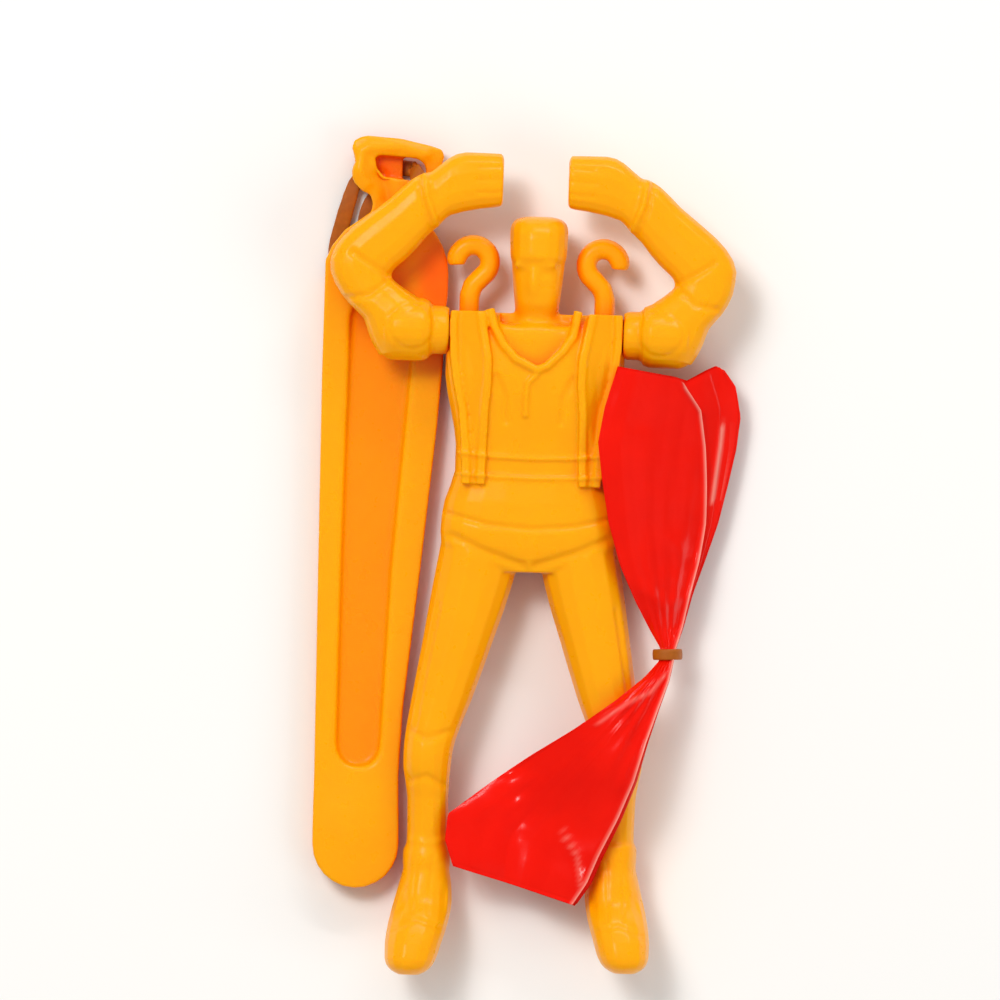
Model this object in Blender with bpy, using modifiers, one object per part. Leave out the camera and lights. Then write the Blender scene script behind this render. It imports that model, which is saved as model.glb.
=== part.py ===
"""Toy paratrooper lying on its back with its launcher and its folded canopy.

Metres, +Z up from the surface it lies on, +Y from the boots to the raised hands.
The figure's middle line is X = 0; a root empty centres the whole set on the origin.
Tables hold shares of the named sizes above them.
"""
import math

import bmesh
import bpy
from mathutils import Vector
from mathutils.bvhtree import BVHTree

# Fits between neighbouring pieces.
CLEARANCE = 0.0003
PEG_CLEARANCE = 0.0001
DRAPE_CLEARANCE = 0.00042
OVERLAP = 0.0006
WELD = 0.00002
SKY_Z = 0.05
SAMPLE_STEP = 0.0006
RING_SIDES = 24
LIMB_SIDES = 16
BAND_SIDES = 8
WIRE_RESOLUTION = 4
PEBBLE_SEGMENTS = 12
PEBBLE_RINGS = 8
BEVEL_SEGMENTS = 2
BEVEL_DEGREES = 30
SMOOTH_DEGREES = 40
ROW_STEPS = 2

# Torso: one table row is (rise, half width, back, front).
TORSO_BASE_Y = -0.002
TORSO_LENGTH = 0.0298
TORSO_HALF_WIDTH = 0.0103
TORSO_DEPTH = 0.0108
TORSO_POWER_SHARE = 3.4
TORSO_SHARES = (
    (0, 0.796, 0.111, 0.778),
    (0.054, 0.951, 0.046, 0.852),
    (0.151, 1.01, 0, 0.898),
    (0.268, 0.971, -0.019, 0.898),
    (0.386, 0.864, -0.019, 0.861),
    (0.487, 0.864, -0.028, 0.889),
    (0.621, 0.932, -0.037, 0.954),
    (0.755, 1.015, -0.037, 1),
    (0.883, 1.045, -0.028, 0.981),
    (0.96, 1.03, 0.037, 0.917),
    (0.99, 0.961, 0.111, 0.843),
    (1, 0.893, 0.185, 0.759),
)

# Head and neck with the cap: (rise, half width, back, front).
HEAD_LENGTH = 0.01447
HEAD_SINK = 0.0033
HEAD_HALF_WIDTH = 0.0034
HEAD_DEPTH = 0.0093
HEAD_BACK_Z = 0.0016
HEAD_POWER_SHARE = 2.7
HEAD_SHARES = (
    (0, 0.73, 0.194, 0.731),
    (0.173, 0.74, 0.194, 0.763),
    (0.263, 0.75, 0.151, 0.839),
    (0.332, 0.785, 0.097, 0.903),
    (0.463, 0.845, 0.043, 0.925),
    (0.587, 0.895, 0.022, 0.914),
    (0.636, 0.91, 0.016, 0.935),
    (0.677, 0.96, 0.005, 0.989),
    (0.767, 0.985, 0, 0.968),
    (0.878, 1, 0.016, 0.935),
    (0.94, 0.939, 0.075, 0.882),
    (0.981, 0.758, 0.172, 0.796),
    (1, 0.455, 0.301, 0.667),
)
FACE_OUT = -0.00045
NOSE_LENGTH = 0.0034
NOSE_WIDTH = 0.0016
NOSE_RISE = 0.0005
NOSE_PLACE_SHARE = 0.48
BROW_WIDTH = 0.0018
BROW_HEIGHT = 0.0009
BROW_RISE = 0.0004
BROW_SPREAD = 0.0016
BROW_PLACE_SHARE = 0.61

# Harness: two straps (rise on the torso, inner edge, outer edge) and a V collar.
STRAP_FOOT_Z = 0.0035
STRAP_RISE = 0.0003
STRAP_LIP = 0.0004
STRAP_LIP_WIDTH = 0.0008
STRAP_LIP_SLOPE = 0.0003
STRAP_TOP_Z = 0.0092
STRAP_FLAT_SHARE = 0.9
STRAP_SHARES = (
    (1.003, 0.583, 0.961),
    (0.933, 0.544, 0.971),
    (0.826, 0.485, 0.951),
    (0.738, 0.476, 0.913),
    (0.617, 0.505, 0.835),
    (0.470, 0.515, 0.796),
    (0.336, 0.524, 0.777),
)
COLLAR_RADIUS = 0.00055
CLOSURE_RADIUS = 0.00035
COLLAR_POCKET_DEPTH = 0.0009
NECK_WELL_WIDTH_SHARE = 0.408
NECK_WELL_START_SHARE = 0.955
NECK_WELL_DEPTH = 0.0026
COLLAR_POCKET_TOP = 0.004
COLLAR_PROBE_SHARES = (0.8, 0.88, 0.94)
COLLAR_SHARES = (
    (-0.523, 1.013),
    (-0.469, 0.947),
    (-0.359, 0.876),
    (-0.216, 0.823),
    (0.024, 0.782),
    (0.131, 0.798),
    (0.299, 0.854),
    (0.413, 0.914),
    (0.465, 1.013),
)
CLOSURE_SHARES = (
    (0.045, 0.775),
    (-0.072, 0.73),
    (-0.091, 0.69),
    (-0.091, 0.6),
)

# Leg: (fall, centre out, half width, centre height, half depth); reach is left, right.
LEG_LENGTH = 0.0378
LEG_REACH_SHARES = (1, 0.977)
LEG_OVERLAP_Y = 0.0042
LEG_SPREAD = 0.0107
LEG_HALF_WIDTH = 0.0047
LEG_HEIGHT = 0.0048
LEG_HALF_DEPTH = 0.0043
LEG_POWER_SHARE = 2.4
LEG_SHARES = (
    (0, 0.505, 1, 1, 1),
    (0.138, 0.589, 0.989, 1, 0.977),
    (0.323, 0.738, 0.872, 1, 0.907),
    (0.508, 0.897, 0.745, 1.021, 0.837),
    (0.622, 1, 0.638, 1.083, 0.791),
    (0.672, 1.023, 0.606, 1.115, 0.791),
    (0.72, 1.028, 0.585, 1.083, 0.767),
    (0.804, 1.009, 0.511, 0.958, 0.721),
    (0.918, 1, 0.511, 0.896, 0.721),
    (1, 1, 0.532, 0.875, 0.744),
)

# Boot: (fall, inner edge, outer edge, underside, top), edges from the leg's spread.
BOOT_LENGTH = 0.0147
BOOT_OVERLAP_Y = 0.0017
BOOT_HALF_WIDTH = 0.0036
BOOT_HEIGHT = 0.012
BOOT_POWER_SHARE = 2.5
BOOT_SHARES = (
    (0, -0.708, 0.722, 0.075, 0.633),
    (0.041, -0.764, 0.778, 0.058, 0.658),
    (0.136, -0.764, 0.778, 0.05, 0.667),
    (0.17, -0.736, 0.75, 0.042, 0.642),
    (0.279, -0.819, 0.861, 0.008, 0.692),
    (0.429, -0.861, 1.014, 0.017, 0.767),
    (0.585, -0.764, 1.167, 0.1, 0.867),
    (0.755, -0.556, 1.264, 0.25, 0.967),
    (0.884, -0.389, 1.25, 0.4, 1),
    (0.959, -0.167, 1.083, 0.517, 0.958),
    (1, 0.139, 0.806, 0.633, 0.867),
)

# Arm: (outer out, outer rise, inner out, inner rise, half depth) from its shoulder; the
# leans move the left and the right sleeve outward.
SHOULDER_DROP = 0.0022
SHOULDER_HEIGHT = 0.0076
SHOULDER_REACH = 0.0036
SHOULDER_RADIUS = 0.00365
SHOULDER_WIDTH = 0.0057
SHOULDER_ROUNDING = 0.0011
HUB_RADIUS = 0.0028
HUB_WIDTH = 0.0014
PEG_RADIUS = 0.0011
PEG_LENGTH = 0.002
ARM_REACH = 0.009
ARM_RISE = 0.0206
ARM_LEANS = (0.0011, 0)
ARM_LEAN_START_SHARE = 0.05
ARM_LEAN_END_SHARE = 0.3
ARM_HALF_DEPTH = 0.0026
ARM_POWER_SHARE = 2.6
ARM_SHARES = (
    (-1.189, 0.966, -1.189, 0.718, 0.769),
    (-1.156, 0.995, -1.156, 0.697, 0.865),
    (-0.7, 0.998, -0.922, 0.682, 0.885),
    (-0.489, 0.964, -0.511, 0.638, 0.904),
    (-0.256, 0.881, -0.4, 0.587, 0.846),
    (-0.178, 0.876, -0.35, 0.566, 0.923),
    (0, 0.833, -0.233, 0.519, 0.923),
    (0.256, 0.726, -0.111, 0.451, 0.923),
    (0.567, 0.617, 0.056, 0.374, 0.962),
    (0.856, 0.5, 0.178, 0.325, 0.981),
    (0.998, 0.374, 0.206, 0.286, 1),
    (0.956, 0.243, 0.156, 0.257, 1.019),
    (0.822, 0.131, 0.033, 0.214, 1.077),
    (0.667, 0.049, -0.122, 0.16, 1.231),
    (0.6, -0.035, -0.19, 0.08, 1.27),
    (0.53, -0.1, -0.2, 0, 1.2),
    (0.45, -0.155, -0.2, -0.08, 1.0),
)

# Hook: an open eye on a stem that sits in the shoulder strap.
HOOK_WIRE_RADIUS = 0.0012
HOOK_EYE_RADIUS = 0.00195
HOOK_EYE_INSET = 0.0003
HOOK_EYE_RISE = 0.0057
HOOK_STEM_SHARE = 0.757
HOOK_STEM_TOP = 0.0018
HOOK_SINK = 0.0022
HOOK_HEIGHT = 0.0045
HOOK_BEND = 0.00037
HOOK_STEPS = 16
HOOK_START_DEGREES_SHARE = 235
HOOK_END_DEGREES_SHARE = -12
HOOK_TAPER_SHARES = (0.75, 0.96)

# Launcher: outline from its head's middle line and its lower end.
LAUNCHER_X = -0.01805
LAUNCHER_Y = -0.039
LAUNCHER_WIDTH = 0.013
LAUNCHER_LENGTH = 0.0868
LAUNCHER_THICKNESS = 0.0036
LAUNCHER_ROUNDING = 0.0006
RECESS_DEPTH = 0.0011
RELIEF_DEPTH = 0.0014
RELIEF_START_SHARE = 0.808
SLOT_FLOOR_RISE = 0.0001
SLOT_FLOOR_THICKNESS = 0.0006
LAUNCHER_SHARES = (
    (-0.5, 0.833),
    (-0.442, 0.853),
    (-0.335, 0.874),
    (-0.196, 0.889),
    (-0.108, 0.899),
    (-0.096, 0.91),
    (-0.119, 0.921),
    (-0.196, 0.927),
    (-0.265, 0.937),
    (-0.285, 0.946),
    (-0.273, 0.956),
    (-0.246, 0.964),
    (-0.273, 0.974),
    (-0.296, 0.983),
    (-0.277, 0.993),
    (-0.219, 0.998),
    (-0.15, 1),
    (0.135, 0.997),
    (0.427, 0.988),
    (0.504, 0.984),
    (0.527, 0.975),
    (0.504, 0.963),
    (0.442, 0.947),
    (0.358, 0.932),
    (0.312, 0.921),
    (0.304, 0.908),
    (0.335, 0.896),
    (0.4, 0.886),
    (0.471, 0.873),
    (0.541, 0.855),
    (0.583, 0.837),
    (0.596, 0.818),
    (0.596, 0.79),
    (0.578, 0.765),
    (0.57, 0.7),
    (0.54, 0.62),
    (0.43, 0.426),
    (0.315, 0.242),
    (0.292, 0.15),
    (0.312, 0.059),
    (0.299, 0.043),
    (0.26, 0.029),
    (0.2, 0.017),
    (0.12, 0.008),
    (0.028, 0.002),
    (-0.071, 0),
    (-0.17, 0.002),
    (-0.262, 0.008),
    (-0.341, 0.017),
    (-0.402, 0.029),
    (-0.44, 0.043),
    (-0.453, 0.059),
    (-0.458, 0.15),
    (-0.481, 0.426),
    (-0.5, 0.68),
)
SLOT_SHARES = (
    (-0.088, 0.971),
    (-0.065, 0.956),
    (-0.004, 0.946),
    (0.265, 0.9415),
    (0.345, 0.9455),
    (0.369, 0.955),
    (0.35, 0.965),
    (0.288, 0.972),
    (-0.042, 0.975),
)
SLOT_FLOOR_SHARES = (
    (-0.13, 0.972),
    (-0.105, 0.953),
    (-0.02, 0.941),
    (0.16, 0.938),
    (0.16, 0.979),
    (-0.06, 0.98),
)
RECESS_SHARES = (
    (-0.262, 0.689),
    (-0.262, 0.76),
    (-0.215, 0.778),
    (-0.09, 0.786),
    (0.13, 0.786),
    (0.25, 0.778),
    (0.297, 0.76),
    (0.285, 0.689),
    (0.165, 0.426),
    (0.115, 0.19),
    (0.102, 0.179),
    (0.067, 0.1698),
    (0.012, 0.1635),
    (-0.073, 0.1612),
    (-0.158, 0.1635),
    (-0.213, 0.1698),
    (-0.252, 0.179),
    (-0.265, 0.19),
    (-0.273, 0.426),
)

# Rubber loop of the launcher: (across, along, height, width direction x, y, z).
BAND_WIDTH = 0.0019
BAND_THICKNESS = 0.0006
BAND_HEIGHT = 0.0042
BAND_POWER_SHARE = 4
BAND_SHARES = (
    (0.262, 0.9575, 0.52, 0, 1, 0),
    (0.252, 0.9578, 0.27, 0, 1, 0),
    (0.205, 0.9584, 0.155, 0, 1, 0),
    (0.11, 0.9595, 0.14, 0, 1, 0),
    (-0.09, 0.9615, 0.14, 0, 1, 0),
    (-0.215, 0.9605, 0.15, -0.35, 1, 0),
    (-0.3, 0.952, 0.2, -1, 0.8, 0),
    (-0.318, 0.9385, 0.26, -1, 0.1, 0),
    (-0.315, 0.922, 0.28, -1, 0, 0),
    (-0.335, 0.9, 0.27, -1, 0.2, 0),
    (-0.372, 0.877, 0.2, -1, 0.3, 0),
    (-0.405, 0.856, 0.145, -1, 0.2, 0),
    (-0.41, 0.838, 0.14, -1, -0.2, 0),
    (-0.365, 0.825, 0.14, -0.5, -1, 0),
    (-0.29, 0.8235, 0.14, 0.3, -1, 0),
    (-0.225, 0.833, 0.14, 1, -0.6, 0),
    (-0.195, 0.853, 0.14, 1, -0.3, 0),
    (-0.16, 0.885, 0.16, 1, -0.2, 0),
    (-0.135, 0.904, 0.18, 1, -0.2, 0),
    (-0.09, 0.9185, 0.15, 0.7, -1, 0),
    (0.02, 0.9235, 0.14, 0.1, -1, 0),
    (0.18, 0.922, 0.14, 0, -1, 0),
    (0.32, 0.9165, 0.15, 0.2, -1, 0),
    (0.405, 0.9165, 0.3, 0.6, -1, 0.1),
    (0.438, 0.92, 0.6, 0.8, -1, -0.1),
    (0.41, 0.9265, 0.93, 0.9, -1, -0.3),
    (0.345, 0.937, 1.03, -0.9, -0.6, 0),
    (0.29, 0.9487, 1.0, -0.8, -1, 0),
    (0.266, 0.9555, 0.8, -0.3, -1, 0),
)

# Folded canopy: (left across, left along, right across, right along) from its neck.
CANOPY_X = 0.0163
CANOPY_Y = -0.0109
CANOPY_WIDTH = 0.0255
CANOPY_LENGTH = 0.0335
CANOPY_THICKNESS = 0.003
CANOPY_EDGE_SHARE = 0.42
CANOPY_NECK_HALF_HEIGHT = 0.0009
CANOPY_NECK_CORNER_SHARE = 0.25
DRAPE_SLOPE_SHARE = 0.62
DRAPE_REACH = 0.0007
CANOPY_NECK_ROWS_SHARE = (8, 9)
CANOPY_TOP_ROWS_SHARE = 2
CANOPY_STEPS = 2
CANOPY_ROW_SHARES = (
    (-0.269, 0.963, 0.29, 0.91),
    (-0.312, 0.848, 0.32, 0.815),
    (-0.355, 0.728, 0.306, 0.713),
    (-0.341, 0.594, 0.271, 0.588),
    (-0.302, 0.445, 0.229, 0.454),
    (-0.239, 0.296, 0.171, 0.325),
    (-0.161, 0.176, 0.116, 0.209),
    (-0.088, 0.081, 0.077, 0.098),
    (-0.036, 0.02, 0.042, 0.023),
    (-0.04, -0.024, 0.032, -0.022),
    (-0.106, -0.081, 0.017, -0.09),
    (-0.239, -0.164, -0.024, -0.194),
    (-0.424, -0.266, -0.067, -0.313),
    (-0.62, -0.361, -0.106, -0.448),
    (-0.816, -0.466, -0.165, -0.579),
    (-0.992, -0.567, -0.237, -0.704),
    (-1, -0.654, -0.29, -0.8),
    (-0.957, -0.746, -0.362, -0.878),
)
# Across one row: (place, rise of the top edge, fold height).
CANOPY_FOLD_SHARES = (
    (0, 0, 0.1),
    (0.07, 0.002, 0.62),
    (0.16, 0.003, 0.98),
    (0.25, 0.004, 0.7),
    (0.34, 0.005, 1),
    (0.43, 0.006, 0.72),
    (0.51, 0.006, 0.95),
    (0.56, -0.005, 0.68),
    (0.62, 0.015, 0.8),
    (0.68, 0.034, 1.08),
    (0.755, 0.06, 0.74),
    (0.827, 0.078, 0.66),
    (0.88, 0.062, 0.8),
    (0.94, 0.03, 0.92),
    (1, 0, 0.1),
)

# Rubber ring round the canopy's neck.
TIE_WIDTH = 0.0013
TIE_THICKNESS = 0.0005

# Colours and finishes: red, green, blue, roughness.
YELLOW_SHARES = (1.0, 0.40, 0.004, 0.28)
RED_SHARES = (0.9, 0.012, 0.004, 0.22)
BROWN_SHARES = (0.30, 0.085, 0.012, 0.55)


def clear_scene():
    """Start from an empty scene."""
    for item in list(bpy.data.objects):
        bpy.data.objects.remove(item)


def new_collection(name, hidden):
    """A collection under the scene; the cutters' one stays out of renders."""
    home = bpy.data.collections.new(name)
    bpy.context.scene.collection.children.link(home)
    home.hide_render = hidden
    return home


def new_material(name, shares):
    """A plain material from one row of colour and roughness."""
    material = bpy.data.materials.new(name)
    material.use_nodes = True
    shader = material.node_tree.nodes["Principled BSDF"]
    shader.inputs["Base Color"].default_value = (*shares[:3], 1)
    shader.inputs["Roughness"].default_value = shares[3]
    material.diffuse_color = (*shares[:3], 1)
    return material


def new_object(name, vertices, faces, home):
    """A mesh object with its faces turned outward."""
    mesh = bpy.data.meshes.new(name)
    mesh.from_pydata([tuple(point) for point in vertices], [], faces)
    form = bmesh.new()
    form.from_mesh(mesh)
    bmesh.ops.recalc_face_normals(form, faces=form.faces)
    form.to_mesh(mesh)
    form.free()
    item = bpy.data.objects.new(name, mesh)
    home.objects.link(item)
    return item


def loft(name, rings, home, closed=False, turn=0):
    """Skin a run of equal rings; capped at both ends, or joined end to end."""
    count = len(rings[0])
    vertices = [point for ring in rings for point in ring]
    faces = []
    spans = len(rings) if closed else len(rings) - 1
    for row in range(spans):
        shift = turn if row == len(rings) - 1 else 0
        low = row * count
        high = ((row + 1) % len(rings)) * count
        for step in range(count):
            after = (step + 1) % count
            near = high + (step + shift) % count
            far = high + (after + shift) % count
            faces.append((low + step, low + after, far, near))
    if not closed:
        faces.append(tuple(reversed(range(count))))
        faces.append(tuple(range(spans * count, spans * count + count)))
    return new_object(name, vertices, faces, home)


def oval(center, side, rise, power, count):
    """Ring of points on a rounded box spanned by two half-axis vectors."""
    ring = []
    for step in range(count):
        angle = 2 * math.pi * (step + 0.5) / count
        across = math.copysign(abs(math.cos(angle)) ** (2 / power), math.cos(angle))
        along = math.copysign(abs(math.sin(angle)) ** (2 / power), math.sin(angle))
        ring.append(center + across * side + along * rise)
    return ring


def upright_ring(x_low, x_high, y, z_low, z_high, power, count):
    """Rounded ring standing across the figure at one height of the body."""
    center = Vector(((x_low + x_high) / 2, y, (z_low + z_high) / 2))
    side = Vector(((x_high - x_low) / 2, 0, 0))
    rise = Vector((0, 0, (z_high - z_low) / 2))
    return oval(center, side, rise, power, count)


def use_boolean(item, tool, operation):
    """Join or cut with another object, which is then only a tool."""
    step = item.modifiers.new(tool.name, "BOOLEAN")
    step.object = tool
    step.operation = operation
    step.solver = "EXACT"
    tool.hide_render = True
    tool.display_type = "WIRE"


def evaluated_mesh(item):
    """The object's mesh with its modifiers worked in, in world coordinates."""
    depsgraph = bpy.context.evaluated_depsgraph_get()
    mesh = bpy.data.meshes.new_from_object(item.evaluated_get(depsgraph))
    mesh.transform(item.matrix_world)
    return mesh


def curve_to_mesh(item, home):
    """Turn a curve into a welded mesh object of the same name."""
    name = item.name
    bpy.context.view_layer.update()
    mesh = evaluated_mesh(item)
    form = bmesh.new()
    form.from_mesh(mesh)
    bmesh.ops.remove_doubles(form, verts=form.verts, dist=WELD)
    bmesh.ops.recalc_face_normals(form, faces=form.faces)
    form.to_mesh(mesh)
    form.free()
    bpy.data.objects.remove(item)
    solid = bpy.data.objects.new(name, mesh)
    solid.name = name
    home.objects.link(solid)
    return solid


def wire(name, points, radius, home, tapers=()):
    """Round wire with filled ends along a run of points."""
    curve = bpy.data.curves.new(name, "CURVE")
    curve.dimensions = "3D"
    curve.bevel_depth = radius
    curve.bevel_resolution = WIRE_RESOLUTION
    curve.use_fill_caps = True
    line = curve.splines.new("POLY")
    line.points.add(len(points) - 1)
    for spot, point in zip(line.points, points):
        spot.co = (*point, 1)
    for place, share in enumerate(tapers):
        line.points[-1 - place].radius = share
    item = bpy.data.objects.new(name, curve)
    home.objects.link(item)
    return curve_to_mesh(item, home)


def plate(name, outline, low, high, home):
    """Flat plate between two heights from a closed plan outline."""
    curve = bpy.data.curves.new(name, "CURVE")
    curve.dimensions = "2D"
    curve.fill_mode = "BOTH"
    curve.extrude = (high - low) / 2
    line = curve.splines.new("POLY")
    line.points.add(len(outline) - 1)
    for spot, point in zip(line.points, outline):
        spot.co = (point[0], point[1], 0, 1)
    line.use_cyclic_u = True
    item = bpy.data.objects.new(name, curve)
    item.location = (0, 0, (high + low) / 2)
    home.objects.link(item)
    return curve_to_mesh(item, home)


def cylinder(name, radius, length, center, axis, home):
    """Closed cylinder of a given length about a centre, along X or Y."""
    form = bmesh.new()
    bmesh.ops.create_cone(
        form, cap_ends=True, segments=RING_SIDES, radius1=radius, radius2=radius, depth=length
    )
    mesh = bpy.data.meshes.new(name)
    form.to_mesh(mesh)
    form.free()
    turn = Vector(axis).to_track_quat("Z", "Y").to_matrix().to_4x4()
    mesh.transform(turn)
    item = bpy.data.objects.new(name, mesh)
    item.location = center
    home.objects.link(item)
    return item


def block(name, low, high, home):
    """Box between two corners."""
    form = bmesh.new()
    bmesh.ops.create_cube(form, size=1)
    for spot in form.verts:
        spot.co = Vector([a + (b - a) * (c + 0.5) for a, b, c in zip(low, high, spot.co)])
    mesh = bpy.data.meshes.new(name)
    form.to_mesh(mesh)
    form.free()
    item = bpy.data.objects.new(name, mesh)
    home.objects.link(item)
    return item


def pebble(name, center, half, home):
    """Small rounded swelling with three half sizes."""
    form = bmesh.new()
    bmesh.ops.create_uvsphere(form, u_segments=PEBBLE_SEGMENTS, v_segments=PEBBLE_RINGS, radius=1)
    for spot in form.verts:
        spot.co = Vector([c + a * b for c, a, b in zip(center, spot.co, half)])
    mesh = bpy.data.meshes.new(name)
    form.to_mesh(mesh)
    form.free()
    item = bpy.data.objects.new(name, mesh)
    home.objects.link(item)
    return item


def bevel_edges(item, width):
    """Round the sharp edges."""
    step = item.modifiers.new("rounding", "BEVEL")
    step.width = width
    step.segments = BEVEL_SEGMENTS
    step.limit_method = "ANGLE"
    step.angle_limit = math.radians(BEVEL_DEGREES)


def bevel_rims(item, width):
    """Round only the upper and the lower rim of a plate."""
    form = bmesh.new()
    form.from_mesh(item.data)
    layer = form.edges.layers.float.new("bevel_weight_edge")
    for edge in form.edges:
        level = abs(edge.verts[0].co.z - edge.verts[1].co.z) < WELD
        if level and edge.calc_face_angle() > math.radians(BEVEL_DEGREES):
            edge[layer] = 1
    form.to_mesh(item.data)
    form.free()
    step = item.modifiers.new("rounding", "BEVEL")
    step.width = width
    step.segments = BEVEL_SEGMENTS
    step.limit_method = "WEIGHT"


def smooth(item):
    """Smooth shading that keeps the sharp edges."""
    item.data.polygons.foreach_set("use_smooth", [True] * len(item.data.polygons))
    item.data.set_sharp_from_angle(angle=math.radians(SMOOTH_DEGREES))


def bake(item):
    """Work the modifiers into the object's own mesh."""
    bpy.context.view_layer.update()
    depsgraph = bpy.context.evaluated_depsgraph_get()
    mesh = bpy.data.meshes.new_from_object(item.evaluated_get(depsgraph))
    item.modifiers.clear()
    item.data = mesh


def tree_of(item):
    """Search tree of an object's evaluated faces in world coordinates."""
    bpy.context.view_layer.update()
    mesh = evaluated_mesh(item)
    points = [spot.co.copy() for spot in mesh.vertices]
    faces = [tuple(face.vertices) for face in mesh.polygons]
    bpy.data.meshes.remove(mesh)
    return BVHTree.FromPolygons(points, faces)


def top_under(tree, x, y):
    """Height of the highest surface above one point of the plan, or None."""
    hit = tree.ray_cast(Vector((x, y, SKY_Z)), Vector((0, 0, -1)))
    return hit[0].z if hit[0] else None


def eased(rows, steps):
    """Open smooth run through rows of numbers that never swings past them."""
    spans = [[b - a for a, b in zip(first, second)] for first, second in zip(rows, rows[1:])]
    slopes = [spans[0]]
    for first, second in zip(spans, spans[1:]):
        slopes.append([2 * a * b / (a + b) if a * b > 0 else 0 for a, b in zip(first, second)])
    slopes.append(spans[-1])
    result = []
    for place, span in enumerate(spans):
        for step in range(steps):
            t = step / steps
            rise = t * t * (3 - 2 * t)
            leave = t * (1 - t) * (1 - t)
            arrive = t * t * (t - 1)
            row = []
            for k, start in enumerate(rows[place]):
                bend = leave * slopes[place][k] + arrive * slopes[place + 1][k]
                row.append(start + rise * span[k] + bend)
            result.append(row)
    result.append(list(rows[-1]))
    return result


def resample(rows, steps):
    """Closed smooth run through rows of numbers."""
    result = []
    count = len(rows)
    for place in range(count):
        four = [rows[(place + offset) % count] for offset in (-1, 0, 1, 2)]
        for step in range(steps):
            t = step / steps
            weights = (
                (-t + 2 * t * t - t * t * t) / 2,
                (2 - 5 * t * t + 3 * t * t * t) / 2,
                (t + 4 * t * t - 3 * t * t * t) / 2,
                (-t * t + t * t * t) / 2,
            )
            mixed = [sum(w * row[k] for w, row in zip(weights, four)) for k in range(len(rows[0]))]
            result.append(mixed)
    return result


def torso_y(share):
    """World Y of a share of the torso's length."""
    return TORSO_BASE_Y + share * TORSO_LENGTH


def make_torso(home):
    """Trunk with a flat back patch and flat shoulder faces."""
    rings = []
    for rise, width, back, front in eased(TORSO_SHARES, ROW_STEPS):
        half = width * TORSO_HALF_WIDTH
        low = back * TORSO_DEPTH
        high = front * TORSO_DEPTH
        ring = upright_ring(-half, half, torso_y(rise), low, high, TORSO_POWER_SHARE, RING_SIDES)
        for point in ring:
            point.z = max(point.z, 0)
            point.x = max(-TORSO_HALF_WIDTH, min(TORSO_HALF_WIDTH, point.x))
        rings.append(ring)
    return loft("figure_body", rings, home)


def make_head(home):
    """Neck, face and flat-topped cap as one skin, with nose and brows turned a little aside."""
    base = torso_y(1) - HEAD_SINK
    rings = []
    for rise, width, back, front in eased(HEAD_SHARES, ROW_STEPS):
        half = width * HEAD_HALF_WIDTH
        low = HEAD_BACK_Z + back * HEAD_DEPTH
        high = HEAD_BACK_Z + front * HEAD_DEPTH
        y = base + rise * HEAD_LENGTH
        rings.append(upright_ring(-half, half, y, low, high, HEAD_POWER_SHARE, LIMB_SIDES))
    head = loft("head", rings, home)
    tree = tree_of(head)
    nose_y = base + NOSE_PLACE_SHARE * HEAD_LENGTH
    brow_y = base + BROW_PLACE_SHARE * HEAD_LENGTH
    center = (FACE_OUT, nose_y, top_under(tree, FACE_OUT, nose_y))
    features = [pebble("nose", center, (NOSE_WIDTH / 2, NOSE_LENGTH / 2, NOSE_RISE), home)]
    for side in (-1, 1):
        x = FACE_OUT + side * BROW_SPREAD
        center = (x, brow_y, top_under(tree, x, brow_y))
        features.append(pebble("brow", center, (BROW_WIDTH / 2, BROW_HEIGHT / 2, BROW_RISE), home))
    return [head] + features


def make_strap(side, tree, home):
    """Raised strap with a lip along each edge, following the chest down from the shoulder."""
    rings = []
    for rise, inner, outer in STRAP_SHARES:
        y = torso_y(rise)
        edges = (inner * TORSO_HALF_WIDTH, outer * TORSO_HALF_WIDTH)
        under = torso_y(min(rise, STRAP_FLAT_SHARE))
        heights = []
        for edge in edges:
            surface = top_under(tree, side * edge, under)
            heights.append(max(surface, STRAP_TOP_Z) + STRAP_RISE)
        ring = []
        profile = (
            (edges[0], STRAP_FOOT_Z),
            (edges[0], heights[0] + STRAP_LIP),
            (edges[0] + STRAP_LIP_WIDTH, heights[0] + STRAP_LIP),
            (edges[0] + STRAP_LIP_WIDTH + STRAP_LIP_SLOPE, heights[0]),
            (edges[1] - STRAP_LIP_WIDTH - STRAP_LIP_SLOPE, heights[1]),
            (edges[1] - STRAP_LIP_WIDTH, heights[1] + STRAP_LIP),
            (edges[1], heights[1] + STRAP_LIP),
            (edges[1], STRAP_FOOT_Z),
        )
        for x, z in profile:
            ring.append(Vector((side * x, y, z)))
        rings.append(ring)
    return loft("strap", rings, home)


def chest_line(name, shares, radius, tree, home):
    """Raised seam lying on the chest."""
    points = []
    for across, rise in shares:
        x = across * TORSO_HALF_WIDTH
        y = torso_y(rise)
        z = top_under(tree, x, torso_y(min(rise, STRAP_FLAT_SHARE)))
        points.append(Vector((x, y, z)))
    return wire(name, points, radius, home)


def make_collar_pocket(tree, home):
    """Tool that lowers the chest inside the V collar."""
    outline = [(across * TORSO_HALF_WIDTH, torso_y(rise)) for across, rise in COLLAR_SHARES]
    top = max(top_under(tree, 0, torso_y(share)) for share in COLLAR_PROBE_SHARES)
    return plate("collar_pocket", outline, top - COLLAR_POCKET_DEPTH, top + COLLAR_POCKET_TOP, home)


def make_neck_well(tree, home):
    """Tool that sinks the shoulders beside the neck."""
    top = top_under(tree, 0, torso_y(COLLAR_PROBE_SHARES[-1]))
    half = NECK_WELL_WIDTH_SHARE * TORSO_HALF_WIDTH
    low = (-half, torso_y(NECK_WELL_START_SHARE), top - NECK_WELL_DEPTH)
    high = (half, torso_y(1) + HEAD_SINK, top + COLLAR_POCKET_TOP)
    return block("neck_well", low, high, home)


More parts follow.
